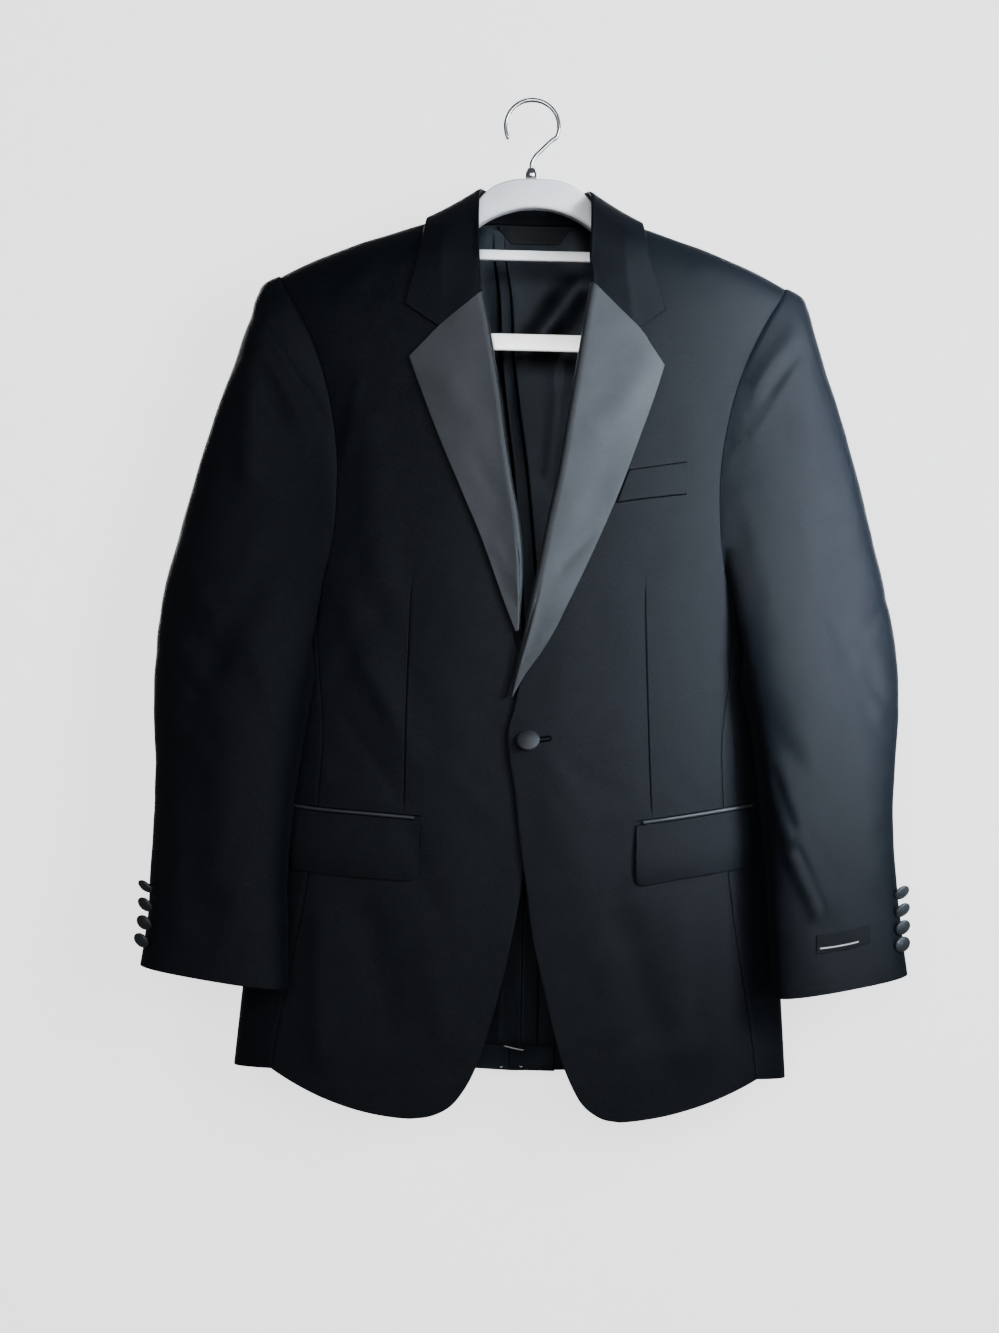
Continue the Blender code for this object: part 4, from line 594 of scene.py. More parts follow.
def body_normal(points, face):
    slope = slope_of_level(points, face)
    return slope / np.linalg.norm(slope, axis=-1, keepdims=True)


def height_over_body(points, face):
    slope = slope_of_level(points, face)
    return level(points, face) / np.linalg.norm(slope, axis=-1)


def lifted(points, height, face):
    """Points of the body's surface moved out by a height."""
    return points + body_normal(points, face) * np.broadcast_to(height, points.shape[:-1])[..., None]


def both_faces(function, points):
    """Reads a function of the body on the face that each point is nearer to."""
    front = function(points, FRONT)
    back = function(points, BACK)
    nearer = points[..., 1] < 0
    return np.where(nearer[..., None] if front.ndim == points.ndim else nearer, front, back)


def pushed_clear(points, clearance, rounds=4):
    """Points moved out of the body until they clear it by a distance."""
    points = points.copy()
    for _ in range(rounds):
        short = np.clip(clearance - both_faces(height_over_body, points), 0, None)
        points += both_faces(body_normal, points) * short[..., None]
    return points


def at_height(points, height, rounds=5):
    """Points moved to a height over the body."""
    points = points.copy()
    for _ in range(rounds):
        off = height - both_faces(height_over_body, points)
        points += both_faces(body_normal, points) * off[..., None]
    return points


def grid_normals(points):
    """Normals of a grid of points, by the cross of its rows and columns."""
    down, along = np.gradient(points, axis=0), np.gradient(points, axis=1)
    normal = np.cross(along, down)
    return normal / np.maximum(np.linalg.norm(normal, axis=-1, keepdims=True), 1e-9)


def unit(vectors):
    return vectors / np.linalg.norm(vectors, axis=-1, keepdims=True)


def drawn_in(points, sides):
    """Pulls the named edges of a grid back along its surface, to leave a seam's gap."""
    points = points.copy()
    for name, grid in (("row", points), ("column", points.swapaxes(0, 1))):
        for edge, end, beside in (("first", 0, 1), ("last", -1, -2)):
            if f"{edge}_{name}" in sides:
                grid[end] += unit(grid[beside] - grid[end]) * SEAM_TOUCH
    return points


def lap_lift(side, points):
    """The foreparts part where they lap under the button, the left one over the right."""
    near = 1 - ease(np.abs(points[..., 0] - CENTRE), *LAP_REACH)
    return side * LAP_LIFT * near


def rows_between(row, inner_x, inner_z, outer_x, outer_z, share, face):
    """Rows from the inner edge to the outer seam. The top ones follow the shoulder line's shape."""
    x = mixed(inner_x[:, None], outer_x[:, None], share)
    inner_line, outer_line = shoulder_z(inner_x, face), shoulder_z(outer_x, face)
    straight_line = mixed(inner_line[:, None], outer_line[:, None], share)
    straight = mixed(inner_z[:, None], outer_z[:, None], share)
    follow = ease(row, ARMHOLE_ROW, TOP_ROW)[:, None]
    return x, straight + (shoulder_z(x, face) - straight_line) * follow


# ---------------------------------------------------------------- fine sheets


def spread(count, strength=2.0, width=0.02, stops=(0.0, 1.0)):
    """Numbers from 0 to 1, closer together near the stops."""
    at = np.linspace(0, 1, 2001)
    density = 1 + sum(strength * np.exp(-(((at - stop) / width) ** 2)) for stop in stops)
    total = np.concatenate([[0], np.cumsum((density[1:] + density[:-1]) / 2)])
    return np.interp(np.linspace(0, total[-1], count + 1), total, at)


def arc_map(points):
    """Cloth coordinates of a grid, by the lengths along its rows and columns."""
    across = np.linalg.norm(np.diff(points, axis=1), axis=-1)
    down = np.linalg.norm(np.diff(points, axis=0), axis=-1)
    u = np.concatenate([np.zeros((len(points), 1)), np.cumsum(across, axis=1)], axis=1)
    v = np.concatenate([np.zeros((1, points.shape[1])), np.cumsum(down, axis=0)])
    return np.stack([u, v], axis=-1)


def with_rim(grid, distance, height):
    """Inserts the rows of a rounded edge at both ends of a grid's first axis."""
    points = grid[..., :3]
    parts = []
    for ends in ((0, 1), (-1, -2)):
        step = points[ends[1]] - points[ends[0]]
        length = np.maximum(np.linalg.norm(step, axis=-1, keepdims=True), 1e-6)
        share = np.minimum(distance[:, None, None] / length, 0.8 * distance[:, None, None] / distance[-1])
        parts.append(mixed(grid[ends[0]], grid[ends[1]], share))
    level = np.concatenate([height, np.ones(len(grid) - 2), height[::-1]])
    return np.concatenate([parts[0], grid[1:-1], parts[1][::-1]]), level


def mesh_piece(name, points, faces, materials, slots=None, uv=None):
    mesh = bpy.data.meshes.new(name)
    places = (np.asarray(points) * MM).tolist()
    mesh.from_pydata(places, [], faces if isinstance(faces, list) else faces.tolist())
    mesh.polygons.foreach_set("use_smooth", np.ones(len(mesh.polygons), bool))
    for material in materials:
        mesh.materials.append(material)
    if slots is not None:
        mesh.polygons.foreach_set("material_index", slots)
    layer = mesh.uv_layers.new(name="cloth")
    if uv is not None:
        corners = np.empty(len(mesh.loops), np.int32)
        mesh.loops.foreach_get("vertex_index", corners)
        layer.data.foreach_set("uv", (np.asarray(uv)[corners] * MM).ravel())
    mesh.update()
    made = bpy.data.objects.new(name, mesh)
    bpy.context.scene.collection.objects.link(made)
    return made


RIM_TURNS = np.radians((0, 22, 45, 68, 90))


def sheet_piece(name, points, normals, thickness, outside, inside=None, uv=None, rim=None):
    """A closed thin sheet with rounded edges, from a grid of the points of its outer face."""
    uv = arc_map(points) if uv is None else uv
    rim = thickness / 2 if rim is None else rim
    grid = np.concatenate([points - normals * thickness / 2, normals, uv], axis=-1)
    distance, height = rim * (1 - np.cos(RIM_TURNS)), np.sin(RIM_TURNS)
    grid, row_level = with_rim(grid, distance, height)
    turned, column_level = with_rim(grid.transpose(1, 0, 2), distance, height)
    grid = turned.transpose(1, 0, 2)
    middle, normals, uv = grid[..., :3], unit(grid[..., 3:6]), grid[..., 6:]
    half = (row_level[:, None] * column_level)[..., None] * thickness / 2
    rows, columns = middle.shape[:2]
    index = np.arange(rows * columns).reshape(rows, columns)
    under = index + rows * columns
    under[[0, -1]], under[:, [0, -1]] = index[[0, -1]], index[:, [0, -1]]
    outer = np.stack([index[:-1, :-1], index[:-1, 1:], index[1:, 1:], index[1:, :-1]], axis=-1).reshape(-1, 4)
    inner = np.stack([under[:-1, :-1], under[1:, :-1], under[1:, 1:], under[:-1, 1:]], axis=-1).reshape(-1, 4)
    facing = np.cross(middle[1:-1, 2:] - middle[1:-1, :-2], middle[2:, 1:-1] - middle[:-2, 1:-1])
    if (facing * normals[1:-1, 1:-1]).sum() < 0:
        outer, inner = outer[:, ::-1], inner[:, ::-1]
    used = np.unique(np.concatenate([outer, inner]))
    renumber = np.zeros(2 * rows * columns, int)
    renumber[used] = np.arange(len(used))
    every = np.concatenate([(middle + way * normals * half).reshape(-1, 3) for way in (1, -1)])
    mapped = np.tile(uv.reshape(-1, 2), (2, 1))
    faces = renumber[np.concatenate([outer, inner])]
    slots = np.concatenate([np.zeros(len(outer), int), np.full(len(inner), int(inside is not None))])
    materials = [outside] if inside is None else [outside, inside]
    return mesh_piece(name, every[used], faces, materials, slots, mapped[used])


# ---------------------------------------------------------------- body


def front_surface(side, row, share):
    """Points and normals of a forepart, by rows up from the hem and shares out from its inner edge."""
    edge = FRONT_EDGES[side]
    lapel_from = LAPEL_ROWS[side][0]
    inset = PANEL_INSET * ease(row, lapel_from - 1, lapel_from)
    inner_x = read(edge, "x", row) + side * inset
    outer_x = CENTRE + side * read(SEAMS, "front_out", row)
    outer_z = read(SEAMS, "front_z", row)
    x, z = rows_between(row, inner_x, read(edge, "z", row), outer_x, outer_z, share, FRONT)
    bow = HEM_BOW[side] * (1 - ease(row, 0, HEM_BOW_ROWS))
    z = z - bow[:, None] * 4 * share * (1 - share)
    points = on_body(x, z, FRONT)
    normals = body_normal(points, FRONT)
    return points + normals * lap_lift(side, points)[..., None], normals


def dart_shares(side, row, across):
    """Shares for a forepart's columns. The middle one follows the dart."""
    inner = read(FRONT_EDGES[side], "x", row)
    outer = CENTRE + side * read(SEAMS, "front_out", row)
    z = (read(FRONT_EDGES[side], "z", row) + read(SEAMS, "front_z", row)) / 2
    at = np.clip((read(DARTS[side], "x", z) - inner) / (outer - inner), 0.2, 0.8)[:, None]
    return np.where(across < 0.5, at * across * 2, at + (1 - at) * (across * 2 - 1))


def dart_groove(side, points):
    """Depth of the dart's stitched line and of the dimple round it."""
    z = points[..., 2]
    top, foot = DARTS[side]["z"][[0, -1]]
    reach = ease(z, foot - DART_FADE[1], foot + DART_FADE[1]) * (1 - ease(z, top - DART_FADE[0], top))
    away = points[..., 0] - read(DARTS[side], "x", z)
    return reach * sum(depth * np.exp(-((away / wide) ** 2)) for depth, wide in (DART_LINE, DART_DIMPLE))


def front_sheet(side, wool, lining, thickness):
    """A forepart. Its columns stand closest at the dart's stitched line."""
    row = TOP_ROW * spread(FRONT_GRID[0])
    across = spread(FRONT_GRID[1], 14.0, 0.008, (0.5,))
    points, normals = front_surface(side, row, dart_shares(side, row, across))
    normals = grid_facing(points, normals)
    points = points - normals * dart_groove(side, points)[..., None]
    points = drawn_in(points, ("last_column", "last_row"))
    name = f"cloth_front_{SIDE_NAME[side]}"
    return sheet_piece(name, points, normals, thickness, wool, lining, points[..., ::2], SEAM_RIM)


def grid_facing(points, normals):
    """Normals of a grid's own surface, folds and all, turned the way of the given ones."""
    own = grid_normals(points)
    return own * np.sign((own * normals).sum())


def side_surface(side, row, share):
    """Rows that run round the side from the forepart's seam to the back's."""
    front_z, back_z = read(SEAMS, "front_z", row), read(SEAMS, "back_z", row)
    turns = []
    for name, z in (("front_out", front_z), ("back_out", back_z)):
        across = section(CENTRE + side * read(SEAMS, name, row), z, FRONT)[0]
        turns.append(np.arccos(np.clip(across, 0, 1) ** (ROUNDNESS / 2)))
    turn = turns[0][:, None] * (1 - share) - turns[1][:, None] * share
    z = mixed(front_z[:, None], back_z[:, None], share)
    dip = ease(row, ARMHOLE_ROW - 2, ARMHOLE_ROW) * ARMPIT_DIP
    z = z - dip[:, None] * np.sin(math.pi * share)
    x = read(BODY, "centre", z) + side * read(BODY, "half_width", z) * np.cos(turn) ** (2 / ROUNDNESS)
    depth = np.where(turn > 0, -read(BODY, "front", z), read(BODY, "back", z))
    y = depth * np.abs(np.sin(turn)) ** (2 / ROUNDNESS)
    points = np.stack([x, y, z], axis=-1)
    return points, both_faces(body_normal, points)


def side_sheet(side, wool, lining, thickness):
    """A side body, between the forepart and the back."""
    row = ARMHOLE_ROW * spread(SIDE_GRID[0])
    points, normals = side_surface(side, row, np.linspace(0, 1, SIDE_GRID[1]))
    points = drawn_in(points, ("first_column", "last_column"))
    name = f"cloth_side_{SIDE_NAME[side]}"
    return sheet_piece(name, points, normals, thickness, wool, lining, None, SEAM_RIM)


def back_surface(side, row, share):
    """Points and normals of a back, by rows up from the hem and shares out from its centre seam."""
    neck_row = BACK_NECK["row"][0]
    inner_z = np.where(row < neck_row, read(BACK_CENTRE, "z", row), read(BACK_NECK, "z", row))
    inner_x = CENTRE + side * np.where(row < neck_row, 0, read(BACK_NECK, "out", row))
    outer_x = CENTRE + side * read(SEAMS, "back_out", row)
    x, z = rows_between(row, inner_x, inner_z, outer_x, read(SEAMS, "back_z", row), share, BACK)
    points = on_body(x, z, BACK)
    return points, body_normal(points, BACK)


def back_sheet(side, wool, lining, thickness):
    """A back, from the hem to the shoulder seam and the neckline."""
    row = TOP_ROW * spread(BACK_GRID[0])
    points, normals = back_surface(side, row, spread(BACK_GRID[1], 1.5))
    normals = grid_facing(points, normals)
    points = drawn_in(points, ("first_column", "last_column", "last_row"))
    name = f"cloth_back_{SIDE_NAME[side]}"
    return sheet_piece(name, points, normals, thickness, wool, lining, points[..., ::2], SEAM_RIM)


def body_patch(x, z, height, face):
    """A grid over part of the body, at a height over its surface."""
    points = on_body(x, z, face)
    normals = body_normal(points, face)
    return lifted(points, height, face), normals


# ---------------------------------------------------------------- sleeves

# The sleeve's columns count round the armhole: the top is 0, then down the front, along the side
# panel and up the back.
ROW_TABLE = np.linspace(TOP_ROW, ARMHOLE_ROW, 400)
COLUMN_TABLE = TOP_ROW - ROW_TABLE + ease(TOP_ROW - ROW_TABLE, 0, 1)


def armhole_points(side, column):
    """Points of the armhole at the sleeve's columns."""
    column = np.mod(column, SLEEVE_COLUMNS)
    ahead = front_surface(side, np.interp(column, COLUMN_TABLE, ROW_TABLE), np.array([1.0]))[0][:, 0]
    share = np.clip((column - CORNER_COLUMN) / SIDE_COLUMNS, 0, 1)
    below = side_surface(side, np.array([float(ARMHOLE_ROW)]), share)[0][0]
    row = np.interp(SLEEVE_COLUMNS - column, COLUMN_TABLE, ROW_TABLE)
    behind = back_surface(side, row, np.array([1.0]))[0][:, 0]
    on_side = (column > CORNER_COLUMN)[:, None]
    return np.where(on_side, np.where((column > CORNER_COLUMN + SIDE_COLUMNS)[:, None], behind, below), ahead)


def armhole(side, column):
    """The armhole's points, and the direction in the body's surface that leads into it."""
    loop = armhole_points(side, column)
    along = unit(armhole_points(side, column + 0.15) - armhole_points(side, column - 0.15))
    inward = unit(np.cross(along, both_faces(body_normal, loop)))
    middle = armhole_points(side, np.arange(SLEEVE_COLUMNS)).mean(axis=0)
    inward *= np.sign((inward * (middle - loop)).sum(axis=-1))[:, None]
    return loop, inward


def oval_rings(side, ring, turn):
    """Rings of the sleeve under the armhole, as ovals between their edges."""
    outer, inner = (traced(SLEEVES[side], edge, side, ring) for edge in ("outer", "inner"))
    drop = -outer[:, 2]
    outer[:, 0] -= side * SLEEVE_SLIM * ease(drop, *SLIM_DROP)
    outer[:, 2] += CUFF_RAISE * ease(drop, *RAISE_DROP)
    middle, half = (outer + inner) / 2, (outer - inner) / 2
    ahead = np.array([0.0, -1.0, 0.0])
    square = unit(ahead - (half @ ahead / (half**2).sum(axis=-1))[:, None] * half)
    depth = square * read(SLEEVES[side], "depth", ring)[:, None]
    across, ahead = (np.sign(wave) * np.abs(wave) ** SLEEVE_SQUARE for wave in (np.cos(turn), np.sin(turn)))
    return middle[:, None] + half[:, None] * across[:, None] + depth[:, None] * ahead[:, None]


def cap_rings(side, ring, column, turn):
    """Rings from the armhole to the biceps. Every column leaves the armhole sideways."""
    column, turn = np.concatenate([[0], column]), np.concatenate([[0], turn])
    loop = armhole_points(side, column)
    low = armhole_points(side, np.arange(SLEEVE_COLUMNS))[:, 2].min()
    biceps, after = oval_rings(side, np.array([BICEPS_RING, BICEPS_RING + 1.0]), turn)
    share = (ring / BICEPS_RING)[:, None, None] ** RING_SPREAD
    length = np.linalg.norm(biceps - loop, axis=-1)
    reach = ease(loop[:, 2], low, low + UNDERARM_RISE)
    leave = UNDERARM_LEAVE * (1 - reach) + CAP_LEAVE * length * reach
    sideways = np.array([side, 0, -CAP_DROP]) + CAP_SWELL * both_faces(body_normal, loop)
    start = unit(sideways) * leave[:, None]
    end = unit(after - biceps) * (CAP_ARRIVE * length)[:, None]
    near = (1 + 2 * share) * (1 - share) ** 2 * loop + share * (1 - share) ** 2 * start
    points = near + share**2 * (3 - 2 * share) * biceps - share**2 * (1 - share) * end
    top = np.clip(np.cos(turn), 0, 1) ** 2
    slim = SLEEVE_SLIM * ease(-points[:, 0, 2], *SLIM_DROP)
    off = CENTRE + side * (read(CAP_OUTLINE, "out", points[:, 0, 2]) - slim) - points[:, 0, 0]
    points[..., 0] += off[:, None] * top * (1 - ease(share[:, 0], 0.75, 1.0))
    return points[:, 1:]


def sleeve_turn(column):
    """Where a column stands round the rings."""
    back_corner = CORNER_COLUMN + SIDE_COLUMNS
    keys = (back_corner - SLEEVE_COLUMNS, 0, CORNER_COLUMN, back_corner, SLEEVE_COLUMNS)
    turns = (CORNER_TURNS[1] - 360, 0, *CORNER_TURNS, 360)
    return np.radians(np.interp(column, keys, turns))


def sleeve_surface(side, ring, column):
    """Points and normals of a sleeve, by rings down from the armhole and columns round it."""
    turn = sleeve_turn(column)
    cap = ring <= BICEPS_RING
    points = np.concatenate([cap_rings(side, ring[cap], column, turn), oval_rings(side, ring[~cap], turn)])
    low = armhole_points(side, np.arange(SLEEVE_COLUMNS))[:, 2].min()
    loop_z = armhole_points(side, column)[:, 2]
    below = low - points[..., 2]
    clearance = ARMPIT_CLEAR + (SLEEVE_CLEAR - ARMPIT_CLEAR) * ease(below, 0, CLEAR_DEPTH)
    inner = ease(-np.cos(turn), 0.0, 0.25) * ease(loop_z - points[..., 2], 0, 6) * ease(ring, 0, 0.6)[:, None]
    points = points + (pushed_clear(points, clearance) - points) * inner[..., None]
    normals = grid_normals(points) * side
    fade = ease(ring, *CAP_FOLDS_FROM) * (1 - ease(ring, *CUFF_FOLDS_TO))
    fine_fade = ease(ring, 0, 0.7)
    for face in (FRONT, BACK):
        shown = np.clip(-face * np.sin(turn) * FOLD_WRAP, 0, 1)
        x, z = points[..., 0], points[..., 2]
        rise = fold_rise(SLEEVE_FOLDS[side], x, z, face) * fade[:, None]
        rise = rise + fold_rise(SLEEVE_CREASES[side], x, z, face) * fine_fade[:, None]
        points = points + normals * (rise * shown)[..., None]
    rope = SLEEVE_ROPE * ease(ring, 0, 0.7) * (1 - ease(ring, 0.7, 2.6))
    swell = rope[:, None] * np.clip(np.cos(turn) + 0.25, 0, 1)
    points = points + normals * (swell + ripple(points) * ease(ring, 0, 2)[:, None])[..., None]
    return points, grid_normals(points) * side


def sleeve_sheet(side, name, start, end, count, wool, lining, thickness):
    """A top or under sleeve, from its turned-in edge at the armhole down to the cuff."""
    ring = CUFF_RING * spread(SLEEVE_RINGS, 1.5)
    column = start + (end - start) * spread(count, 1.0)
    wide = np.concatenate([[start - 0.2], column, [end + 0.2]])
    points, normals = sleeve_surface(side, ring, wide)
    points, normals = points[:, 1:-1], normals[:, 1:-1]
    inward = armhole(side, column)[1]
    lean = np.clip((normals[0] * inward).sum(axis=-1), 0, None)
    normals[0] = unit(normals[0] - inward * lean[:, None])
    points[0] += inward * SEAM_TOUCH
    out_of_body = both_faces(body_normal, points[0])
    tucked = [points[0] - out_of_body * deep - inward * far for deep, far in ALLOWANCE]
    points = np.concatenate([tucked, points])
    normals = np.concatenate([grid_normals(points)[: len(tucked)] * side, normals])
    points = drawn_in(points, ("first_column", "last_column"))
    around = arc_map(points)[..., 0]
    uv = np.stack([around - around[:, [count // 2]], points[..., 2]], axis=-1)
    name = f"cloth_{name}_{SIDE_NAME[side]}"
    return sheet_piece(name, points, normals, thickness, wool, lining, uv, SEAM_RIM)


# ---------------------------------------------------------------- lapels and collar


def leaf_lift(share):
    """Height of a leaf over its panel: full at the roll, low at the edge."""
    return LEAF_EDGE_LIFT + (LEAF_ROLL_LIFT - LEAF_EDGE_LIFT) * (1 - share) ** 2


def bent(start, corner, end, share, corner_share, bend):
    """A row from start to end that passes the corner at the corner's share, as far as bend says."""
    first = start + (corner - start) * (share / corner_share)
    second = corner + (end - corner) * ((share - corner_share) / (1 - corner_share))
    return mixed(mixed(start, end, share), np.where(share < corner_share, first, second), bend)


def fine_profile(profile, columns, count, curve=cubic):
    """A profile's columns read at evenly spaced places along it."""
    keys = np.arange(len(profile[columns[0]]), dtype=float)
    at = np.linspace(0, keys[-1], count)
    return [curve(at, keys, profile[column]) for column in columns]


def lapel_surface(side):
    """The satin leaf from the roll, which it wraps, to its outer edge, and up to the gorge."""
    first, last = LAPEL_ROWS[side]
    rows = spread(LAPEL_ROW_COUNT, 4.0, 0.04, (1.0,))
    row = first + LAPEL_START + (last - first - LAPEL_START) * rows
    roll, edge = front_view(FRONT_EDGES[side], row), front_view(LAPEL_EDGES[side], row)
    width = np.linalg.norm(edge - roll, axis=-1)
    notch = np.array(NOTCH[side], float)
    to_notch = np.linalg.norm(notch - roll[-1])
    notch_share = to_notch / (to_notch + np.linalg.norm(edge[-1] - notch))
    wrap = np.clip((width - WRAP_FROM) / WRAP_OVER, WRAP_LEAST, 1)
    profile_out, profile_height = fine_profile(ROLL_PROFILE, ("out", "height"), ROLL_COLUMNS)
    out = profile_out * wrap[:, None]
    leaf_share = np.linspace(0, 1, LAPEL_LEAF_COLUMNS + 1)[1:]
    start = out[:, -1] / width
    share = np.concatenate([out / width[:, None], start[:, None] + (1 - start[:, None]) * leaf_share], axis=1)
    leaf = leaf_lift(leaf_share) * np.ones((len(row), 1))
    height = np.concatenate([profile_height * wrap[:, None], leaf], axis=1)
    thin = np.clip(width / THIN_LEAF_WIDTH, 0, 1)[:, None]
    height = np.where(height > 0, np.maximum(height * thin, np.minimum(height, LEAF_EDGE_LIFT)), height)
    bends = zip(roll, edge, share[..., None], ease(row, last - 1.0, last))
    flat = np.stack([bent(begin, notch, end, along, notch_share, turn) for begin, end, along, turn in bends])
    points = on_body(flat[..., 0], flat[..., 1], FRONT)
    creases = fold_rise(LAPEL_CREASES, flat[..., 0], flat[..., 1], FRONT) * np.clip(share * 4, 0, 1)
    height = height + lap_lift(side, points) + creases
    uv = np.stack([share * width[:, None], flat[..., 1]], axis=-1)
    return points + body_normal(points, FRONT) * height[..., None], uv


def lapel_sheet(side, satin, thickness):
    """A lapel's satin leaf."""
    points, uv = lapel_surface(side)
    points = drawn_in(points, ("last_row",))
    normals = grid_normals(points) * -side
    return sheet_piece(f"satin_lapel_{SIDE_NAME[side]}", points, normals, thickness, satin, None, uv)


def gorge_row(side, leaf_share):
    """The collar's end row: up inside the roll, round it, and along the gorge past the notch to the tip."""
    roll = front_view(FRONT_EDGES[side], LAPEL_ROWS[side][1])
    notch, tip = np.array(NOTCH[side], float), np.array(COLLAR_TIP[side], float)
    to_notch = np.linalg.norm(notch - roll)
    length = to_notch + np.linalg.norm(tip - notch)
    out, height = fine_profile(ROLL_PROFILE, ("out", "height"), ROLL_COLUMNS)
    inside = np.full(COLLAR_STAND_COLUMNS, ROLL_PROFILE["out"][0] * 0.9)
    sunk = height[0] - 0.4 * np.linspace(1, 0.1, COLLAR_STAND_COLUMNS)
    out = np.concatenate([inside, out, out[-1] + (length - out[-1]) * leaf_share])
    height = np.concatenate([sunk, height, leaf_lift(leaf_share) + COLLAR_WALL - SATIN_WALL])
    flat = bent(roll, notch, tip, (out / length)[:, None], to_notch / length, 1.0)
    points = on_body(flat[:, 0], flat[:, 1], FRONT)
    return points + body_normal(points, FRONT) * (height + lap_lift(side, points))[:, None]


def collar_half(side):
    """Rows of one half of the collar, from the gorge to the centre of the back."""
    station = COLLAR["station"][-1] * spread(COLLAR_ROW_COUNT, 3.0, 0.04, (0.0,))
    stand, roll, fall = (traced(COLLAR, edge, side, station) for edge in ("stand", "roll", "fall"))
    stand, fall = at_height(stand, STAND_HEIGHT), at_height(fall, FALL_LIFT)
    down = unit(unit(stand - roll) + unit(fall - roll))
    across = unit(fall - stand)
    over, under = fine_profile(FOLD_PROFILE, ("across", "down"), ROLL_COLUMNS)
    rise = roll[:, None] + across[:, None] * over[:, None] + down[:, None] * under[:, None]
    share = np.linspace(0, 1, COLLAR_STAND_COLUMNS, endpoint=False)[:, None]
    lower = stand[:, None] + (rise[:, :1] - stand[:, None]) * share
    share = np.linspace(0, 1, COLLAR_LEAF_COLUMNS + 1)[1:]
    leaf = rise[:, -1:] + (fall[:, None] - rise[:, -1:]) * share[:, None]
    settled = ease(share, *FALL_SETTLES)
    leaf = pushed_clear(leaf, (FALL_LIFT + FALL_SWELL * (1 - share)) * settled - FALL_FREE * (1 - settled))
    leaf = eased_across(np.concatenate([rise[:, -1:], leaf], axis=1), LEAF_EASING)[:, 1:]
    rows = np.concatenate([lower, rise, leaf], axis=1)
    keep = 1 - ease(station, *GORGE_REACH)
    return rows + keep[:, None, None] * (gorge_row(side, share) - rows[0])


def eased_across(points, rounds):
    """Rows of points eased along themselves. Their ends stay."""
    points = points.copy()
    for _ in range(rounds):
        points[:, 1:-1] = (points[:, :-2] + 2 * points[:, 1:-1] + points[:, 2:]) / 4
    return points


def collar_sheet(wool, thickness):
    """The collar, in one piece from gorge to gorge."""
    points = np.concatenate([collar_half(RIGHT), collar_half(LEFT)[-2::-1]])
    points = drawn_in(points, ("first_row", "last_row"))
    return sheet_piece("cloth_collar", points, -grid_normals(points), thickness, wool)


# ---------------------------------------------------------------- lining, pockets and labels


def lining_height(z):
    """The lining hangs free of the back under the neck."""
    return LINING_LIFT - LINING_NECK_FALL * (1 - ease(-z, 150, 230))


def lining_sheet(lining):
    """The lining of the back, with the loose pleat down its middle."""
    share, ridge = fine_profile(LINING_COLUMNS, ("share", "ridge"), LINING_GRID[1], np.interp)

    def across(z):
        return CENTRE + (read(PLEAT, "x", z) - CENTRE) * (1 - np.abs(share)) + LINING_REACH * share

    ends = across(LINING_TOP_Z)
    under = LINING_TUCK + LINING_SLOPE * ease(np.abs(ends - CENTRE), *LINING_SLOPE_OUT)
    top = np.minimum(LINING_TOP_Z, shoulder_z(ends, BACK) - under)
    z = mixed(top, LINING_HEM_Z, np.linspace(0, 1, LINING_GRID[0])[:, None] ** LINING_CLOSER_ROWS)
    x = across(z)
    above, start, end = UNDERLAP_STEP["above"], UNDERLAP_STEP["start"], UNDERLAP_STEP["end"]
    over_vent = ease(VENT_TOP_Z - z, *above) * ease(x, *start) * (1 - ease(x, *end))
    waves = fold_rise(LINING_CREASES, x, z, BACK) * (1 - ridge)
    height = lining_height(z) - read(PLEAT, "rise", z) * ridge - waves - over_vent * (WALL + LAY_GAP)
    plain = np.stack([x, body_y(x, z, BACK), z], axis=-1)
    points = lifted(plain, height, BACK)
    normals = grid_facing(points, body_normal(plain, BACK))
    uv = np.stack([x, z], axis=-1)
    return sheet_piece("lining_back", points, normals, LINING_WALL * LINING_THINNED, lining, None, uv)


def neck_label_sheet(woven):
    """A woven label on the lining under the collar, with cut corners."""
    down = np.linspace(0, 1, NECK_LABEL_GRID[0])[:, None]
    at = np.linspace(NECK_LABEL["x"][0], NECK_LABEL["x"][-1], NECK_LABEL_GRID[1])
    top, bottom = (np.interp(at, NECK_LABEL["x"], NECK_LABEL[edge]) for edge in ("top_z", "bottom_z"))
    z = mixed(top, bottom, down)
    x = at * np.ones_like(z)
    points, normals = body_patch(x, z, lining_height(z) - LINING_WALL - 2 * LAY_GAP, BACK)
    uv = np.stack([(x - at[0]) / (at[-1] - at[0]), down * np.ones_like(x)], axis=-1) / MM
    return sheet_piece("label_neck", points, normals, LABEL_WALL, woven, None, uv, LABEL_RIM)


def flap_sheet(side, wool, lining):
    """A pocket flap with rounded corners, its lower edge a little off the coat."""
    start, end = FLAP[side]["out"][[0, -1]]
    corner = FLAP_CORNER * (1 - np.cos(np.linspace(0, math.pi / 2, 14)))
    out = start + np.concatenate([corner, np.linspace(FLAP_CORNER, end - start, FLAP_GRID[1])[1:]])
    short = np.clip(FLAP_CORNER - (out - out[0]), 0, None)
    rounding = FLAP_CORNER - np.sqrt(np.clip(FLAP_CORNER**2 - short**2, 0, None))
    down = spread(FLAP_GRID[0], 2.0, 0.05)[:, None]
    x = CENTRE + side * out * np.ones_like(down)
    z = mixed(read(FLAP[side], "top_z", out), read(FLAP[side], "bottom_z", out) + rounding, down)
    lift = FLAP_LIFT + FLAP_SWELL * np.sin(math.pi * down**1.4) * np.ones_like(x)
    points, normals = body_patch(x, z, lift + fold_rise(FLAP_CREASES, x, z, FRONT), FRONT)
    uv = np.stack([x, z], axis=-1)
    name = f"cloth_flap_{SIDE_NAME[side]}"
    return sheet_piece(name, points, grid_facing(points, normals), FLAP_WALL, wool, lining, uv)


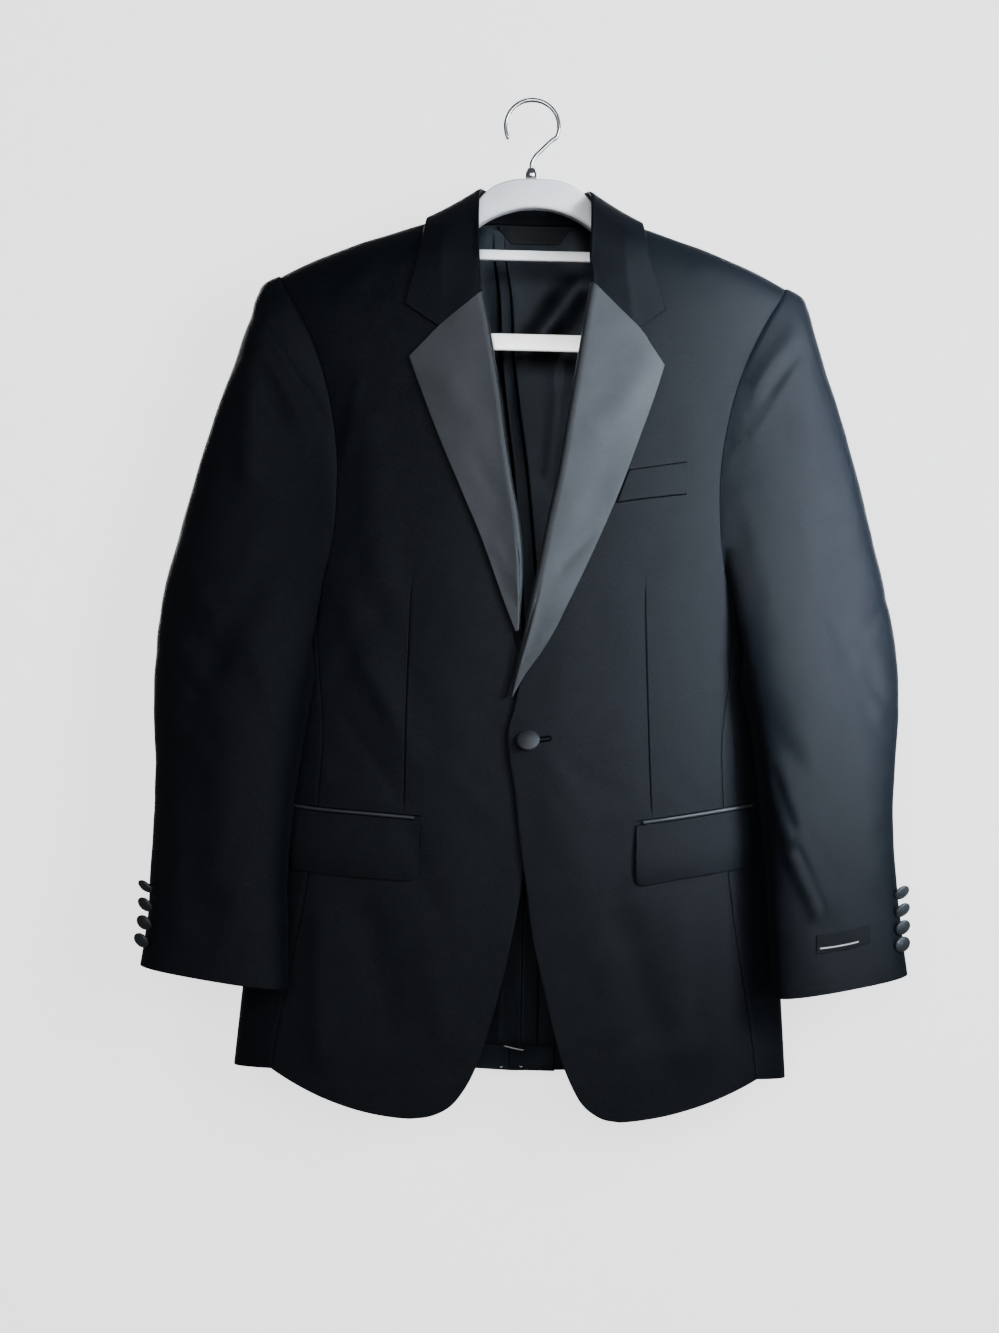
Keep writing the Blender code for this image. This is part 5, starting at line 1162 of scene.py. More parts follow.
def jet_sheet(side, satin):
    """The satin lip of the pocket, just above its flap."""
    start, end = FLAP[side]["out"][[0, -1]]
    out = np.linspace(start + FLAP_CORNER * JET_START, end, JET_GRID[1])
    up = np.linspace(1, 0, JET_GRID[0])[:, None]
    z = read(FLAP[side], "top_z", out) + SEAM_GAP + JET_HEIGHT * up
    x = CENTRE + side * out * np.ones_like(up)
    height = JET_WALL + LAY_GAP + JET_SWELL * np.sin(math.pi * up)
    points, normals = body_patch(x, z, height * np.ones_like(x), FRONT)
    return sheet_piece(f"satin_jet_{SIDE_NAME[side]}", points, grid_facing(points, normals), JET_WALL, satin)


def welt_sheet(wool):
    """The welt of the breast pocket. Its front end follows the lapel's edge."""
    down = spread(WELT_GRID[0], 2.0, 0.06)[:, None]
    out = np.linspace(WELT["out"][0], WELT["out"][-1], WELT_GRID[1])
    z = mixed(read(WELT, "top_z", out), read(WELT, "bottom_z", out), down)
    x = CENTRE + out - WELT_LEAN * down * (1 - (out - out[0]) / (out[-1] - out[0]))
    points, normals = body_patch(x, z, WELT_WALL + LAY_GAP, FRONT)
    uv = np.stack([x, z], axis=-1)
    return sheet_piece("cloth_breast_welt", points, grid_facing(points, normals), WELT_WALL, wool, None, uv)


def vent_sheet(wool, lining, thickness):
    """The right back's extension, which lies inside the left back under the vent."""
    rows, columns = VENT_GRID
    z = np.linspace(BACK_HEM_Z + 1, VENT_TOP_Z, rows)[:, None] * np.ones(columns)
    x = CENTRE + np.linspace(-UNDERLAP_TURN, UNDERLAP_WIDTH, columns) * np.ones((rows, 1))
    points, normals = body_patch(x, z, -WALL - LAY_GAP, BACK)
    uv = np.stack([x, z], axis=-1)
    normals = grid_facing(points, normals)
    return sheet_piece("cloth_vent_underlap", points, normals, thickness, wool, lining, uv)


def on_sleeve(side, x, z):
    """Points and normals on the front of the lower sleeve that are seen at x and z."""
    ring, column = np.linspace(*LOWER_SLEEVE, 80), np.linspace(*SLEEVE_FRONT, 80)
    points, normals = sleeve_surface(side, ring, column)
    places, facing = [], []
    for at_x, at_z in zip(x.ravel(), z.ravel()):
        away = (points[..., 0] - at_x) ** 2 + (points[..., 2] - at_z) ** 2
        i, j = np.unravel_index(np.argmin(away), away.shape)
        i, j = min(max(i, 1), len(ring) - 2), min(max(j, 1), len(column) - 2)
        along = (points[i + 1, j] - points[i - 1, j]) / 2
        around = (points[i, j + 1] - points[i, j - 1]) / 2
        off_x, off_z = at_x - points[i, j, 0], at_z - points[i, j, 2]
        det = along[0] * around[2] - around[0] * along[2]
        s, t = (off_x * around[2] - off_z * around[0]) / det, (off_z * along[0] - off_x * along[2]) / det
        places.append(points[i, j] + s * along + t * around)
        facing.append(normals[i, j])
    return np.array(places).reshape(*x.shape, 3), np.array(facing).reshape(*x.shape, 3)


def sleeve_label_sheet(woven):
    """A label tacked on the left sleeve over the cuff."""
    rows, columns = SLEEVE_LABEL_GRID
    down, share = np.linspace(0, 1, rows)[:, None], np.linspace(0, 1, columns)
    x = mixed(*SLEEVE_LABEL["x"], share)
    top, bottom = (np.interp(x, SLEEVE_LABEL["x"], SLEEVE_LABEL[edge]) for edge in ("top_z", "bottom_z"))
    z = mixed(top, bottom, down) - LABEL_SAG * np.sin(math.pi * share)
    points, normals = on_sleeve(LEFT, x * np.ones((rows, 1)), z)
    points = smoothed(points + normals * (LABEL_WALL + LAY_GAP))
    uv = np.stack([share * np.ones((rows, 1)), down * np.ones(columns)], axis=-1) / MM
    normals = grid_facing(points, normals)
    return sheet_piece("label_sleeve", points, normals, LABEL_WALL, woven, None, uv, LABEL_RIM)


def smoothed(points, rounds=3):
    """A grid with its inner points eased towards their neighbours."""
    points = points.copy()
    for _ in range(rounds):
        points[1:-1] = (points[:-2] + 2 * points[1:-1] + points[2:]) / 4
        points[:, 1:-1] = (points[:, :-2] + 2 * points[:, 1:-1] + points[:, 2:]) / 4
    return points


# ---------------------------------------------------------------- buttons and stitches


def frame_of(axis, up):
    """Three square directions, the last along the axis."""
    axis = unit(np.array(axis, float))
    first = unit(np.cross(np.array(up, float), axis))
    return first, np.cross(axis, first), axis


def ring_faces(count, steps):
    """The faces of a closed piece made of rings, and of its two flat ends."""
    faces = []
    for i in range(count - 1):
        for j in range(steps):
            k = (j + 1) % steps
            faces.append((i * steps + j, i * steps + k, (i + 1) * steps + k, (i + 1) * steps + j))
    return [*faces, tuple(range(steps))[::-1], tuple(range((count - 1) * steps, count * steps))]


def lengths_along(path):
    """How far along a path each of its points lies."""
    return np.concatenate([[0], np.cumsum(np.linalg.norm(np.diff(path, axis=0), axis=1))])


def turned(name, profile, seat, axis, up, steps, material, tucks=0.0, oval=1.0):
    """A piece turned about an axis from a profile of radius and height. Tucks gather its rim."""
    first, second, third = frame_of(axis, up)
    angle = np.linspace(0, TAU, steps, endpoint=False)
    radius, height = np.array(profile, float).T
    wave = 1 + tucks * np.sin(angle * TUCK_COUNT) * np.clip(1 - height[:, None] / height.max(), 0, 1)
    ring = radius[:, None] * wave
    points = (
        np.array(seat)
        + (ring * np.cos(angle))[..., None] * first * oval
        + (ring * np.sin(angle))[..., None] * second
        + height[:, None, None] * third
    )
    uv = np.stack([radius[:, None] * np.cos(angle), radius[:, None] * np.sin(angle)], axis=-1).reshape(-1, 2)
    return mesh_piece(name, points.reshape(-1, 3), ring_faces(len(profile), steps), [material], uv=uv)


def dome(radius, height):
    """The profile of a covered button: a turned-in back, a round rim and a low crown."""
    turn = np.radians(np.linspace(-70, 90, 22))
    rim = height * BUTTON_RIM
    low = [(radius * 0.45, 0.0), (radius * 0.7, 0.0)]
    edge = [(radius - rim + rim * math.cos(t), rim * 0.94 + rim * math.sin(t)) for t in turn if t < 0.9]
    start_r, start_h = edge[-1]
    crown = [(start_r * s, start_h + (height - start_h) * (1 - s**2.2)) for s in np.linspace(0.94, 0.03, 14)]
    return low + edge + crown


def tube(name, path, radius, material, steps=8):
    """A round thread or wire along a path of points."""
    path = np.asarray(path, float)
    along = unit(np.gradient(path, axis=0))
    normal = unit(np.cross(along[0], (0.0, 1.0, 0.3)))
    angle = np.linspace(0, TAU, steps, endpoint=False)
    rings = []
    for place, direction in zip(path, along):
        normal = unit(normal - direction * (normal @ direction))
        across = np.cross(direction, normal)
        rings.append(place + radius * (np.cos(angle)[:, None] * normal + np.sin(angle)[:, None] * across))
    uv = np.stack([np.tile(angle / TAU, len(path)), np.repeat(lengths_along(path), steps)], axis=-1)
    return mesh_piece(name, np.concatenate(rings), ring_faces(len(path), steps), [material], uv=uv)


def joined(name, parts):
    """Several meshes of one piece as one object."""
    points, faces, uv, start = [], [], [], 0
    material = parts[0].data.materials[0]
    for part in parts:
        mesh = part.data
        place = np.empty(len(mesh.vertices) * 3)
        mesh.vertices.foreach_get("co", place)
        points.append(place.reshape(-1, 3) / MM)
        corner = np.empty(len(mesh.loops) * 2)
        mesh.uv_layers["cloth"].data.foreach_get("uv", corner)
        indices = np.empty(len(mesh.loops), np.int32)
        mesh.loops.foreach_get("vertex_index", indices)
        mapped = np.zeros((len(mesh.vertices), 2))
        mapped[indices] = corner.reshape(-1, 2) / MM
        uv.append(mapped)
        faces += [tuple(start + k for k in face.vertices) for face in mesh.polygons]
        start += len(mesh.vertices)
        bpy.data.objects.remove(part, do_unlink=True)
    return mesh_piece(name, np.concatenate(points), faces, [material], uv=np.concatenate(uv))


def coat_point(x, z, height):
    """A point over the left forepart."""
    x, z = np.atleast_1d(np.asarray(x, float)), np.atleast_1d(np.asarray(z, float))
    points = on_body(x, z, FRONT)
    return points + body_normal(points, FRONT) * (lap_lift(LEFT, points) + height)[..., None]


def buttonhole(thread):
    """The worked buttonhole beside the front button: close stitches round a slit."""
    start, end = np.array(BUTTONHOLE["start"]), np.array(BUTTONHOLE["end"])
    run = end - start
    length = np.linalg.norm(run)
    along, across = run / length, np.array((-run[1], run[0])) / length
    half = BUTTONHOLE["half"]
    eye = [end + half * (math.sin(t) * along + math.cos(t) * across) for t in np.linspace(0, math.pi, 9)]
    upper, lower = start + across * half, start - across * half
    outline = [upper] + [upper + along * length * s for s in np.linspace(0.04, 0.96, 12)] + eye
    outline += [lower + along * length * s for s in np.linspace(0.96, 0.04, 12)] + [lower]
    outline = np.array(outline)
    distance = lengths_along(outline)
    at = np.linspace(0, distance[-1], int(distance[-1] / BUTTONHOLE["pitch"]))
    places = np.stack([np.interp(at, distance, outline[:, k]) for k in (0, 1)], axis=-1)
    heading = unit(np.gradient(places, axis=0))
    outward = np.stack([heading[:, 1], -heading[:, 0]], axis=-1)
    outward *= np.sign((outward * (places - (start + end) / 2)).sum(axis=-1).mean()) or 1
    reach = np.linspace(*STITCH_REACH, STITCH_POINTS)[:, None]
    bump = STITCH_SEAT + STITCH_CROWN * np.sin(np.linspace(0.1, math.pi - 0.1, STITCH_POINTS))
    parts = []
    for place, out in zip(places, outward):
        flat = place + out * reach
        parts.append(tube("stitch", coat_point(flat[:, 0], flat[:, 1], bump), STITCH_RADIUS, thread, 5))
    return joined("thread_buttonhole", parts)


def basting(thread):
    """The white tacking stitches that hold the vent closed until the coat is worn."""
    parts = []
    for run in BASTING:
        x, z, deep = np.array(run).T
        parts.append(tube("tack", body_patch(x, z, -deep, BACK)[0], BASTING_RADIUS, thread))
    return joined("thread_basting", parts)


def pocket_seams(side):
    """The dark lines under a flap's jet and over it, partly stitching and partly painted shade of the gaps
    there, as points and normals.
    """
    start, end = FLAP[side]["out"][[0, -1]]
    jet_start = start + FLAP_CORNER * JET_START
    for first, over, height in ((jet_start, SEAM_GAP / 2, 2.9), (start, 2 * SEAM_GAP + JET_HEIGHT, 0.9)):
        out = np.linspace(first, end, 50)
        yield body_patch(CENTRE + side * out, read(FLAP[side], "top_z", out) + over, height, FRONT)


def welt_seams():
    """The dark lines along the upper and the lower edge of the breast welt, partly stitching and partly
    painted shade of the gaps.
    """
    share = np.linspace(0, 1, 40)
    out = mixed(*WELT["out"][[0, -1]], share)
    for edge, over, lean in (("top_z", 0.35, 0.0), ("bottom_z", -0.35, WELT_LEAN)):
        yield body_patch(CENTRE + out - lean * (1 - share), read(WELT, edge, out) + over, 1.3, FRONT)


def sleeve_seams(side):
    """The two long seams of a sleeve."""
    ring = np.linspace(0.6, CUFF_RING - 0.05, SEAM_POINTS)
    for column in (CORNER_COLUMN + FRONT_SEAM_COLUMN, -BACK_SEAM_COLUMN):
        points, normals = sleeve_surface(side, ring, column + np.array([-0.1, 0, 0.1]))
        yield points[:, 1], normals[:, 1]


def dart_seam(side):
    """The dart's stitched line, at the bottom of its groove, dark as a painted shade of the groove."""
    z = np.linspace(DARTS[side]["z"][0] - 2, DARTS[side]["z"][-1], 60)
    points, normals = body_patch(read(DARTS[side], "x", z), z, 0, FRONT)
    return points - normals * (DART_LINE[0] + DART_DIMPLE[0] - SEAM_DEPTH), normals


def seam_threads_and_shade(thread):
    """The seams' stitched lines, sunk between the pieces: near-black tubes that are partly thread and partly
    painted shade in the seams' gaps.
    """
    lines = []
    row = np.linspace(0.05, ARMHOLE_ROW, SEAM_POINTS)
    for side in (RIGHT, LEFT):
        lines += [side_surface(side, row, np.array([share])) for share in (0.0, 1.0)]
        lines.append(front_surface(side, np.array([TOP_ROW - 0.02]), np.linspace(0.02, 0.97, 40)))
        lines += [*sleeve_seams(side), dart_seam(side), *pocket_seams(side)]
    vent_row = np.interp(VENT_TOP_Z, BACK_CENTRE["z"], BACK_CENTRE["row"])
    lines.append(back_surface(LEFT, np.linspace(vent_row, BACK_NECK["row"][0], 90), np.array([0.0])))
    parts = []
    for points, normals in [*lines, *welt_seams()]:
        path = points.reshape(-1, 3) - normals.reshape(-1, 3) * SEAM_DEPTH
        parts.append(tube("seam", path, SEAM_SHADE_THREAD, thread, 6))
    return joined("thread_seams", parts)


# ---------------------------------------------------------------- hanger


def rounded_ring(half, top, under, corner, steps=5):
    """A closed rounded outline as pairs of y and z."""
    corner = min(corner, half * 0.9, (top - under) * 0.45)
    turn = np.linspace(0, math.pi / 2, steps)
    outline = []
    for sy, sz, start in ((1, 1, 0), (-1, 1, 1), (-1, -1, 2), (1, -1, 3)):
        centre_y, centre_z = sy * (half - corner), (top - corner) if sz > 0 else (under + corner)
        for t in turn + start * math.pi / 2:
            outline.append((centre_y + corner * math.cos(t), centre_z + corner * math.sin(t)))
    return np.array(outline)


def lofted(name, rings, material):
    """A closed solid through rings of equal count, with softened ends."""
    rings = np.array(rings)
    first, last = rings[0].mean(axis=0), rings[-1].mean(axis=0)
    start = [first + (rings[0] - first) * s for s in (0.02, 0.6, 0.93)]
    end = [last + (rings[-1] - last) * s for s in (0.93, 0.6, 0.02)]
    rings = np.concatenate([start, rings, end])
    made = mesh_piece(name, rings.reshape(-1, 3), ring_faces(*rings.shape[:2]), [material])
    return outward_faces(made)


def outward_faces(made):
    """Turns a closed mesh's faces outwards."""
    shape = bmesh.new()
    shape.from_mesh(made.data)
    bmesh.ops.recalc_face_normals(shape, faces=shape.faces)
    shape.to_mesh(made.data)
    shape.free()
    return made


def hanger_body(plastic):
    """The arched body with its arms. A shallow groove runs inside its front and back edges."""
    out = np.concatenate([np.linspace(0, 72, 49), np.linspace(72, HANGER["out"][-1], 60)[1:]])
    sides = np.concatenate([-out[:0:-1], out])
    rings = []
    for o in sides:
        top, under, half = (read(HANGER, column, abs(o)) for column in ("top", "under", "half_depth"))
        flat = rounded_ring(half, top, under, HANGER_CORNER, 7)
        rings.append(np.column_stack([np.full(len(flat), CENTRE + o), flat]))
    return lofted("plastic_hanger_body", rings, plastic)


def hanger_crossbar(plastic):
    """The bar across the arch."""
    z, half, depth = CROSSBAR["z"], CROSSBAR["height"] / 2, CROSSBAR["depth"] / 2
    flat = rounded_ring(depth, z + half, z - half, BAR_CORNER, 6)
    reach = np.interp(-(flat[:, 1] + BAR_GAP), -HANGER["under"], HANGER["out"])
    rings = [np.column_stack([CENTRE + s * (reach - BAR_GAP), flat]) for s in np.linspace(-1, 1, 9)]
    return lofted("plastic_hanger_crossbar", rings, plastic)


def trouser_bar(plastic):
    """The lower bar, which rises at both ends to the tips of the arms."""
    half, depth = TROUSER_BAR["height"] / 2, TROUSER_BAR["depth"] / 2
    keys = np.arange(len(TROUSER_BAR_PATH["out"]), dtype=float)
    at = np.concatenate([np.linspace(0, 1, 5), np.linspace(1, keys[-1], 40)[1:]])
    out, z = cubic(at, keys, TROUSER_BAR_PATH["out"]), cubic(at, keys, TROUSER_BAR_PATH["z"])
    out[:5] = np.linspace(0, TROUSER_BAR_PATH["out"][1], 5)
    x, z = np.concatenate([-out[:0:-1], out]), np.concatenate([z[:0:-1], z])
    path = np.stack([CENTRE + x, np.zeros_like(x), z], axis=-1)
    along = unit(np.gradient(path, axis=0))
    rings = []
    for place, direction in zip(path, along):
        across = np.cross(direction, (0, -1, 0))
        wide = half * (1 - BAR_TAPER * abs(direction[2]))
        flat = rounded_ring(depth, wide, -wide, BAR_CORNER, 5)
        rings.append(place + across * flat[:, 1:] + np.array((0, 1, 0)) * flat[:, :1])
    return lofted("plastic_trouser_bar", rings, plastic)


def hook_wire(steel):
    """The bent wire from which the hanger hangs."""
    turns = np.radians(np.linspace(*HOOK_TURNS, 80))
    arc_x, arc_z = HOOK_RADIUS * np.cos(turns), HOOK_CROWN_Z + HOOK_RADIUS * np.sin(turns)
    x, z = np.concatenate([HOOK_STEM["x"], arc_x]), np.concatenate([HOOK_STEM["z"], arc_z])
    keys = np.stack([x, np.zeros_like(x), z], axis=-1)
    distance = lengths_along(keys)
    at = np.linspace(0, distance[-1], 160)
    path = np.stack([cubic(at, distance, keys[:, k]) for k in range(3)], axis=-1)
    wire = tube("steel_hook", path, HOOK_WIRE, steel, 16)
    along = unit(path[-1] - path[-2])
    ball = [(HOOK_WIRE * math.cos(t), HOOK_WIRE * math.sin(t)) for t in np.radians(np.linspace(0, 88, 8))]
    end = turned("end", ball, path[-1] - along * 0.01, along, (0, 1, 0), 16, steel)
    return joined("steel_hook", [wire, end])


def hook_boss(steel):
    """The collar that holds the hook's stem."""
    z, radius = BOSS["z"] - BOSS["z"][0], BOSS["radius"]
    profile = [(radius[0] * 0.8, 0), (radius[0], 0.5), (radius[1], z[1] - 0.6), (radius[1] * 0.97, z[1])]
    profile += [(radius[2], z[2]), (radius[3], z[3] - 0.5), (radius[3] * 0.8, z[3])]
    return turned("steel_hook_boss", profile, (0, 0, BOSS["z"][0]), (0, 0, 1), (0, 1, 0), 48, steel)


# ---------------------------------------------------------------- shader expressions


class Value:
    """A material's socket that can be used in Python expressions."""

    def __init__(self, shade, socket):
        self.shade = shade
        self.socket = socket

    def maths(self, operation, *others):
        return self.shade.node("ShaderNodeMath", {"operation": operation}, dict(enumerate((self, *others))))

    def __add__(self, other):
        return self.maths("ADD", other)

    def __mul__(self, other):
        return self.maths("MULTIPLY", other)

    __radd__ = __add__
    __rmul__ = __mul__

    def __sub__(self, other):
        return self.maths("SUBTRACT", other)

    def __rsub__(self, other):
        return self.shade.node("ShaderNodeMath", {"operation": "SUBTRACT"}, {0: other, 1: self})

    def sine(self):
        return self.maths("SINE")

    def between(self, low, high):
        """0 at low, 1 at high, smooth between."""
        inputs = {"Value": self, "From Min": low, "From Max": high}
        return self.shade.node("ShaderNodeMapRange", {"interpolation_type": "SMOOTHSTEP"}, inputs)

    def within(self, start, starts, ends, end):
        """1 from starts to ends and 0 outside start and end, smooth between."""
        return self.between(start, starts) * (1 - self.between(ends, end))


class Shade:
    """A material that is put together from nodes and expressions."""

    def __init__(self, name):
        self.material = bpy.data.materials.new(name)
        self.material.use_nodes = True
        self.tree = self.material.node_tree
        self.tree.nodes.clear()

    def node(self, kind, settings=None, inputs=None, output=0):
        """Adds a node: its settings first, then its sockets' values or links."""
        made = self.tree.nodes.new(kind)
        for key, value in (settings or {}).items():
            setattr(made, key, value)
        for key, value in (inputs or {}).items():
            if isinstance(value, Value):
                self.tree.links.new(value.socket, made.inputs[key])
            else:
                made.inputs[key].default_value = value
        return Value(self, made.outputs[output]) if len(made.outputs) else made

    def cloth_map(self):
        """The cloth's coordinates in metres: the place itself, and its two numbers."""
        placed = self.node("ShaderNodeUVMap", {"uv_map": "cloth"})
        across = self.node("ShaderNodeSeparateXYZ", None, {0: placed})
        down = Value(self, across.socket.node.outputs[1])
        return placed, across, down

    def scaled(self, place, factors):
        return self.node("ShaderNodeVectorMath", {"operation": "MULTIPLY"}, {0: place, 1: factors})

    def noise(self, place, scale, detail=2.0):
        return self.node("ShaderNodeTexNoise", None, {"Vector": place, "Scale": scale, "Detail": detail})

    def in_space(self):
        return self.node("ShaderNodeTexCoord", None, None, "Object")

    def blend(self, share, first, second):
        """A colour between two, by a share."""
        return self.node("ShaderNodeMix", {"data_type": "RGBA"}, {0: share, 6: first, 7: second}, 2)

    def toned(self, share, colour, low, high):
        """A colour that goes from one depth to another by a share."""
        return self.blend(share, darker(colour, low), darker(colour, high))

    def bump(self, height, distance, strength=1.0):
        inputs = {"Height": height, "Distance": distance, "Strength": strength}
        return self.node("ShaderNodeBump", None, inputs)

    def surface(self, sockets):
        """The Principled surface and the output."""
        shader = self.node("ShaderNodeBsdfPrincipled", None, sockets)
        self.node("ShaderNodeOutputMaterial", None, {"Surface": shader})
        return self.material


def darker(colour, share):
    return (colour[0] * share, colour[1] * share, colour[2] * share, 1.0)


def wool_cloth(look):
    """Fine worsted twill: matt, with a faint bloom at grazing angles."""
    shade = Shade("wool_twill")
    placed, u, v = shade.cloth_map()
    turns = TAU / (look.twill_pitch * MM)
    weave = ((u + v) * turns).sine() * 0.5 + ((u - v) * (turns * 1.3)).sine() * 0.3
    blot = shade.noise(shade.in_space(), 60.0, 4.0)
    fibre = shade.noise(shade.scaled(placed, (1.0, 0.45, 1.0)), 1500.0, 2.0)
    melange = shade.noise(shade.in_space(), 620.0, 2.0)
    tone = blot * 0.12 + fibre * 0.38 + melange * 0.5
    sockets = {
        "Base Color": shade.toned(tone.between(0.35, 0.65), look.wool, 0.5, 1.6),
        "Roughness": tone * 0.2 + 0.38,
        "Specular IOR Level": 0.11,
        "Sheen Weight": 0.02,
        "Sheen Roughness": 0.4,
        "Sheen Tint": (0.8, 0.86, 1.0, 1.0),
        "Normal": shade.bump(weave + fibre * 0.9 + blot * 0.6 + melange * 1.2, 0.00008, 0.8),
    }
    return shade.surface(sockets)


def satin_cloth(look):
    """Satin with its threads along the roll: a broad soft gloss."""
    shade = Shade("lapel_satin")
    placed, u, v = shade.cloth_map()
    threads = ((v + u * 0.25) * (TAU / (look.satin_pitch * MM))).sine()
    streak = shade.noise(shade.scaled(placed, (1.0, 0.09, 1.0)), 2200.0, 2.0)
    cloud = shade.noise(shade.in_space(), 26.0, 3.0)
    mottle = shade.noise(shade.in_space(), 330.0, 2.0)
    tone = streak * 0.35 + cloud * 0.4 + mottle * 0.25
    sockets = {
        "Base Color": shade.toned(tone.between(0.3, 0.7), look.satin, 0.6, 1.42),
        "Roughness": tone * 0.3 + 0.32,
        "Specular IOR Level": 0.6,
        "Specular Tint": (0.86, 0.93, 1.0, 1.0),
        "Sheen Weight": 0.08,
        "Sheen Roughness": 0.3,
        "Sheen Tint": (0.9, 0.93, 1.0, 1.0),
        "Normal": shade.bump(threads * 0.5 + streak * 0.8 + cloud * 3.0 + mottle * 1.0, 0.00008, 0.8),
    }
    return shade.surface(sockets)


def lining_cloth(look):
    """Smooth lining with soft creases."""
    shade = Shade("back_lining")
    placed, u, v = shade.cloth_map()
    threads = ((u + v) * (TAU / 0.0006)).sine()
    crease = shade.noise(shade.scaled(shade.in_space(), (1.0, 1.0, 0.35)), 45.0, 4.0)
    fibre = shade.noise(placed, 1800.0, 1.0)
    sockets = {
        "Base Color": shade.toned(fibre.between(0.3, 0.7), look.lining, 0.8, 1.25),
        "Roughness": crease * 0.2 + 0.27,
        "Specular IOR Level": 0.26,
        "Specular Tint": (0.72, 0.86, 1.0, 1.0),
        "Sheen Weight": 0.01,
        "Sheen Roughness": 0.3,
        "Normal": shade.bump(crease * 8.0 + threads * 0.2 + fibre * 0.4, 0.0001, 0.8),
    }
    return shade.surface(sockets)


def woven_ribbon(look):
    """Close woven ribbon with a border and one pale line."""
    shade = Shade("label_ribbon")
    _, u, v = shade.cloth_map()
    line = v.within(0.68, 0.71, 0.75, 0.78) * u.within(0.06, 0.07, 0.76, 0.77)
    rib = (v * (TAU * 30)).sine() * 0.5 + (u * (TAU * 90)).sine() * 0.5
    sockets = {
        "Base Color": shade.blend(line * look.label_line, darker(look.label, 1.0), (0.4, 0.4, 0.39, 1.0)),
        "Roughness": rib * 0.08 + 0.6,
        "Specular IOR Level": 0.1,
        "Sheen Weight": 0.03,
        "Normal": shade.bump(rib + line * 1.5, 0.00008, 0.8),
    }
    return shade.surface(sockets)


def plain_ribbon(look):
    """Close woven ribbon, bare, with a narrow border."""
    shade = Shade("woven_neck_label")
    _, u, v = shade.cloth_map()
    inside = u.within(0.035, 0.05, 0.95, 0.965) * v.within(0.1, 0.16, 0.84, 0.9)
    rib = (v * (TAU * 34)).sine() * 0.5 + (u * (TAU * 120)).sine() * 0.5
    sockets = {
        "Base Color": shade.toned(inside, look.label, 2.6, 1.0),
        "Roughness": rib * 0.06 + 0.5,
        "Specular IOR Level": 0.3,
        "Sheen Weight": 0.05,
        "Normal": shade.bump(rib + inside * -2.0, 0.00008, 0.8),
    }
    return shade.surface(sockets)


def moulded_plastic(look):
    """White moulded plastic with a faint orange-peel and handling marks."""
    shade = Shade("white_moulded_plastic")
    peel = shade.noise(shade.in_space(), 420.0, 2.0)
    haze = shade.noise(shade.in_space(), 24.0, 4.0)
    sockets = {
        "Base Color": shade.toned(haze.between(0.35, 0.75), look.plastic, 1.0, 0.94),
        "Roughness": haze * 0.16 + 0.3,
        "Subsurface Weight": 0.12,
        "Subsurface Scale": 0.004,
        "Normal": shade.bump(peel, 0.00006, 0.5),
    }
    return shade.surface(sockets)


def polished_steel(look):
    """Bright wire with fine drawing lines along it."""
    shade = Shade("polished_hook_steel")
    placed, *_ = shade.cloth_map()
    lines = shade.noise(shade.scaled(placed, (60000.0, 60.0, 1.0)), 1.0, 3.0)
    sockets = {
        "Base Color": shade.blend(lines, (0.55, 0.56, 0.58, 1.0), (0.7, 0.71, 0.73, 1.0)),
        "Metallic": 1.0,
        "Roughness": lines * 0.18 + 0.12,
        "Normal": shade.bump(lines, 0.00003, 0.4),
    }
    return shade.surface(sockets)


def sewing_thread(name, tint, sheen):
    """Twisted thread."""
    shade = Shade(name)
    _, u, v = shade.cloth_map()
    twist = ((v * 2200.0 + u * 6.0) * TAU).sine()
    sockets = {
        "Base Color": shade.toned(twist * 0.5 + 0.5, tint, 0.75, 1.15),
        "Roughness": twist * 0.05 + 0.7,
        "Specular IOR Level": sheen,
        "Sheen Weight": sheen,
        "Normal": shade.bump(twist, 0.00005, 0.6),
    }
    return shade.surface(sockets)


def studio_paint(name, tint, see_through):
    """Plain paint. The wall is see-through from behind, so that the back of the jacket shows."""
    shade = Shade(name)
    grain = shade.noise(shade.in_space(), 60.0, 3.0)
    colour = shade.toned(grain.between(0.2, 0.8), tint, 0.985, 1.0)
    paint = shade.node("ShaderNodeBsdfDiffuse", None, {"Color": colour, "Roughness": 0.5})
    if see_through:
        glow = shade.node("ShaderNodeEmission", None, {"Color": colour, "Strength": WALL_GLOW})
        paint = shade.node("ShaderNodeAddShader", None, {0: paint, 1: glow})
        clear = shade.node("ShaderNodeBsdfTransparent")
        behind = shade.node("ShaderNodeNewGeometry", None, None, "Backfacing")
        paint = shade.node("ShaderNodeMixShader", None, {0: behind, 1: paint, 2: clear})
    shade.node("ShaderNodeOutputMaterial", None, {"Surface": paint})
    return shade.material


FINISHES = {
    "wool_twill": wool_cloth,
    "lapel_satin": satin_cloth,
    "back_lining": lining_cloth,
    "label_ribbon": woven_ribbon,
    "woven_neck_label": plain_ribbon,
    "white_moulded_plastic": moulded_plastic,
    "polished_hook_steel": polished_steel,
    # Near-black thread for the buttonhole and shanks, which also serves as the painted shade in the seams'
    # gaps.
    "black_thread_and_seam_shade": lambda look: sewing_thread("black_thread_and_seam_shade", darker(look.wool, 0.25), 0.02),
    "white_thread": lambda look: sewing_thread("white_thread", (0.8, 0.8, 0.78), 0.3),
    "wall_paint": lambda look: studio_paint("wall_paint", look.wall, True),
    "floor_paint": lambda look: studio_paint("floor_paint", look.wall, False),
}


def finish_of(name):
    """A finish by name, made on its first use."""
    return bpy.data.materials.get(name) or FINISHES[name](bpy.context.scene.tuxedo_looks)


# ---------------------------------------------------------------- sizes and looks


def length(name, description, default):
    return bpy.props.FloatProperty(name=name, description=description, default=default, min=0.05, max=20.0)


def power(name, description, default):
    return bpy.props.FloatProperty(name=name, description=description, default=default, unit="POWER")


def tint(name, description, default):
    return bpy.props.FloatVectorProperty(
        name=name, description=description, default=default, subtype="COLOR", size=3, min=0, max=1
    )


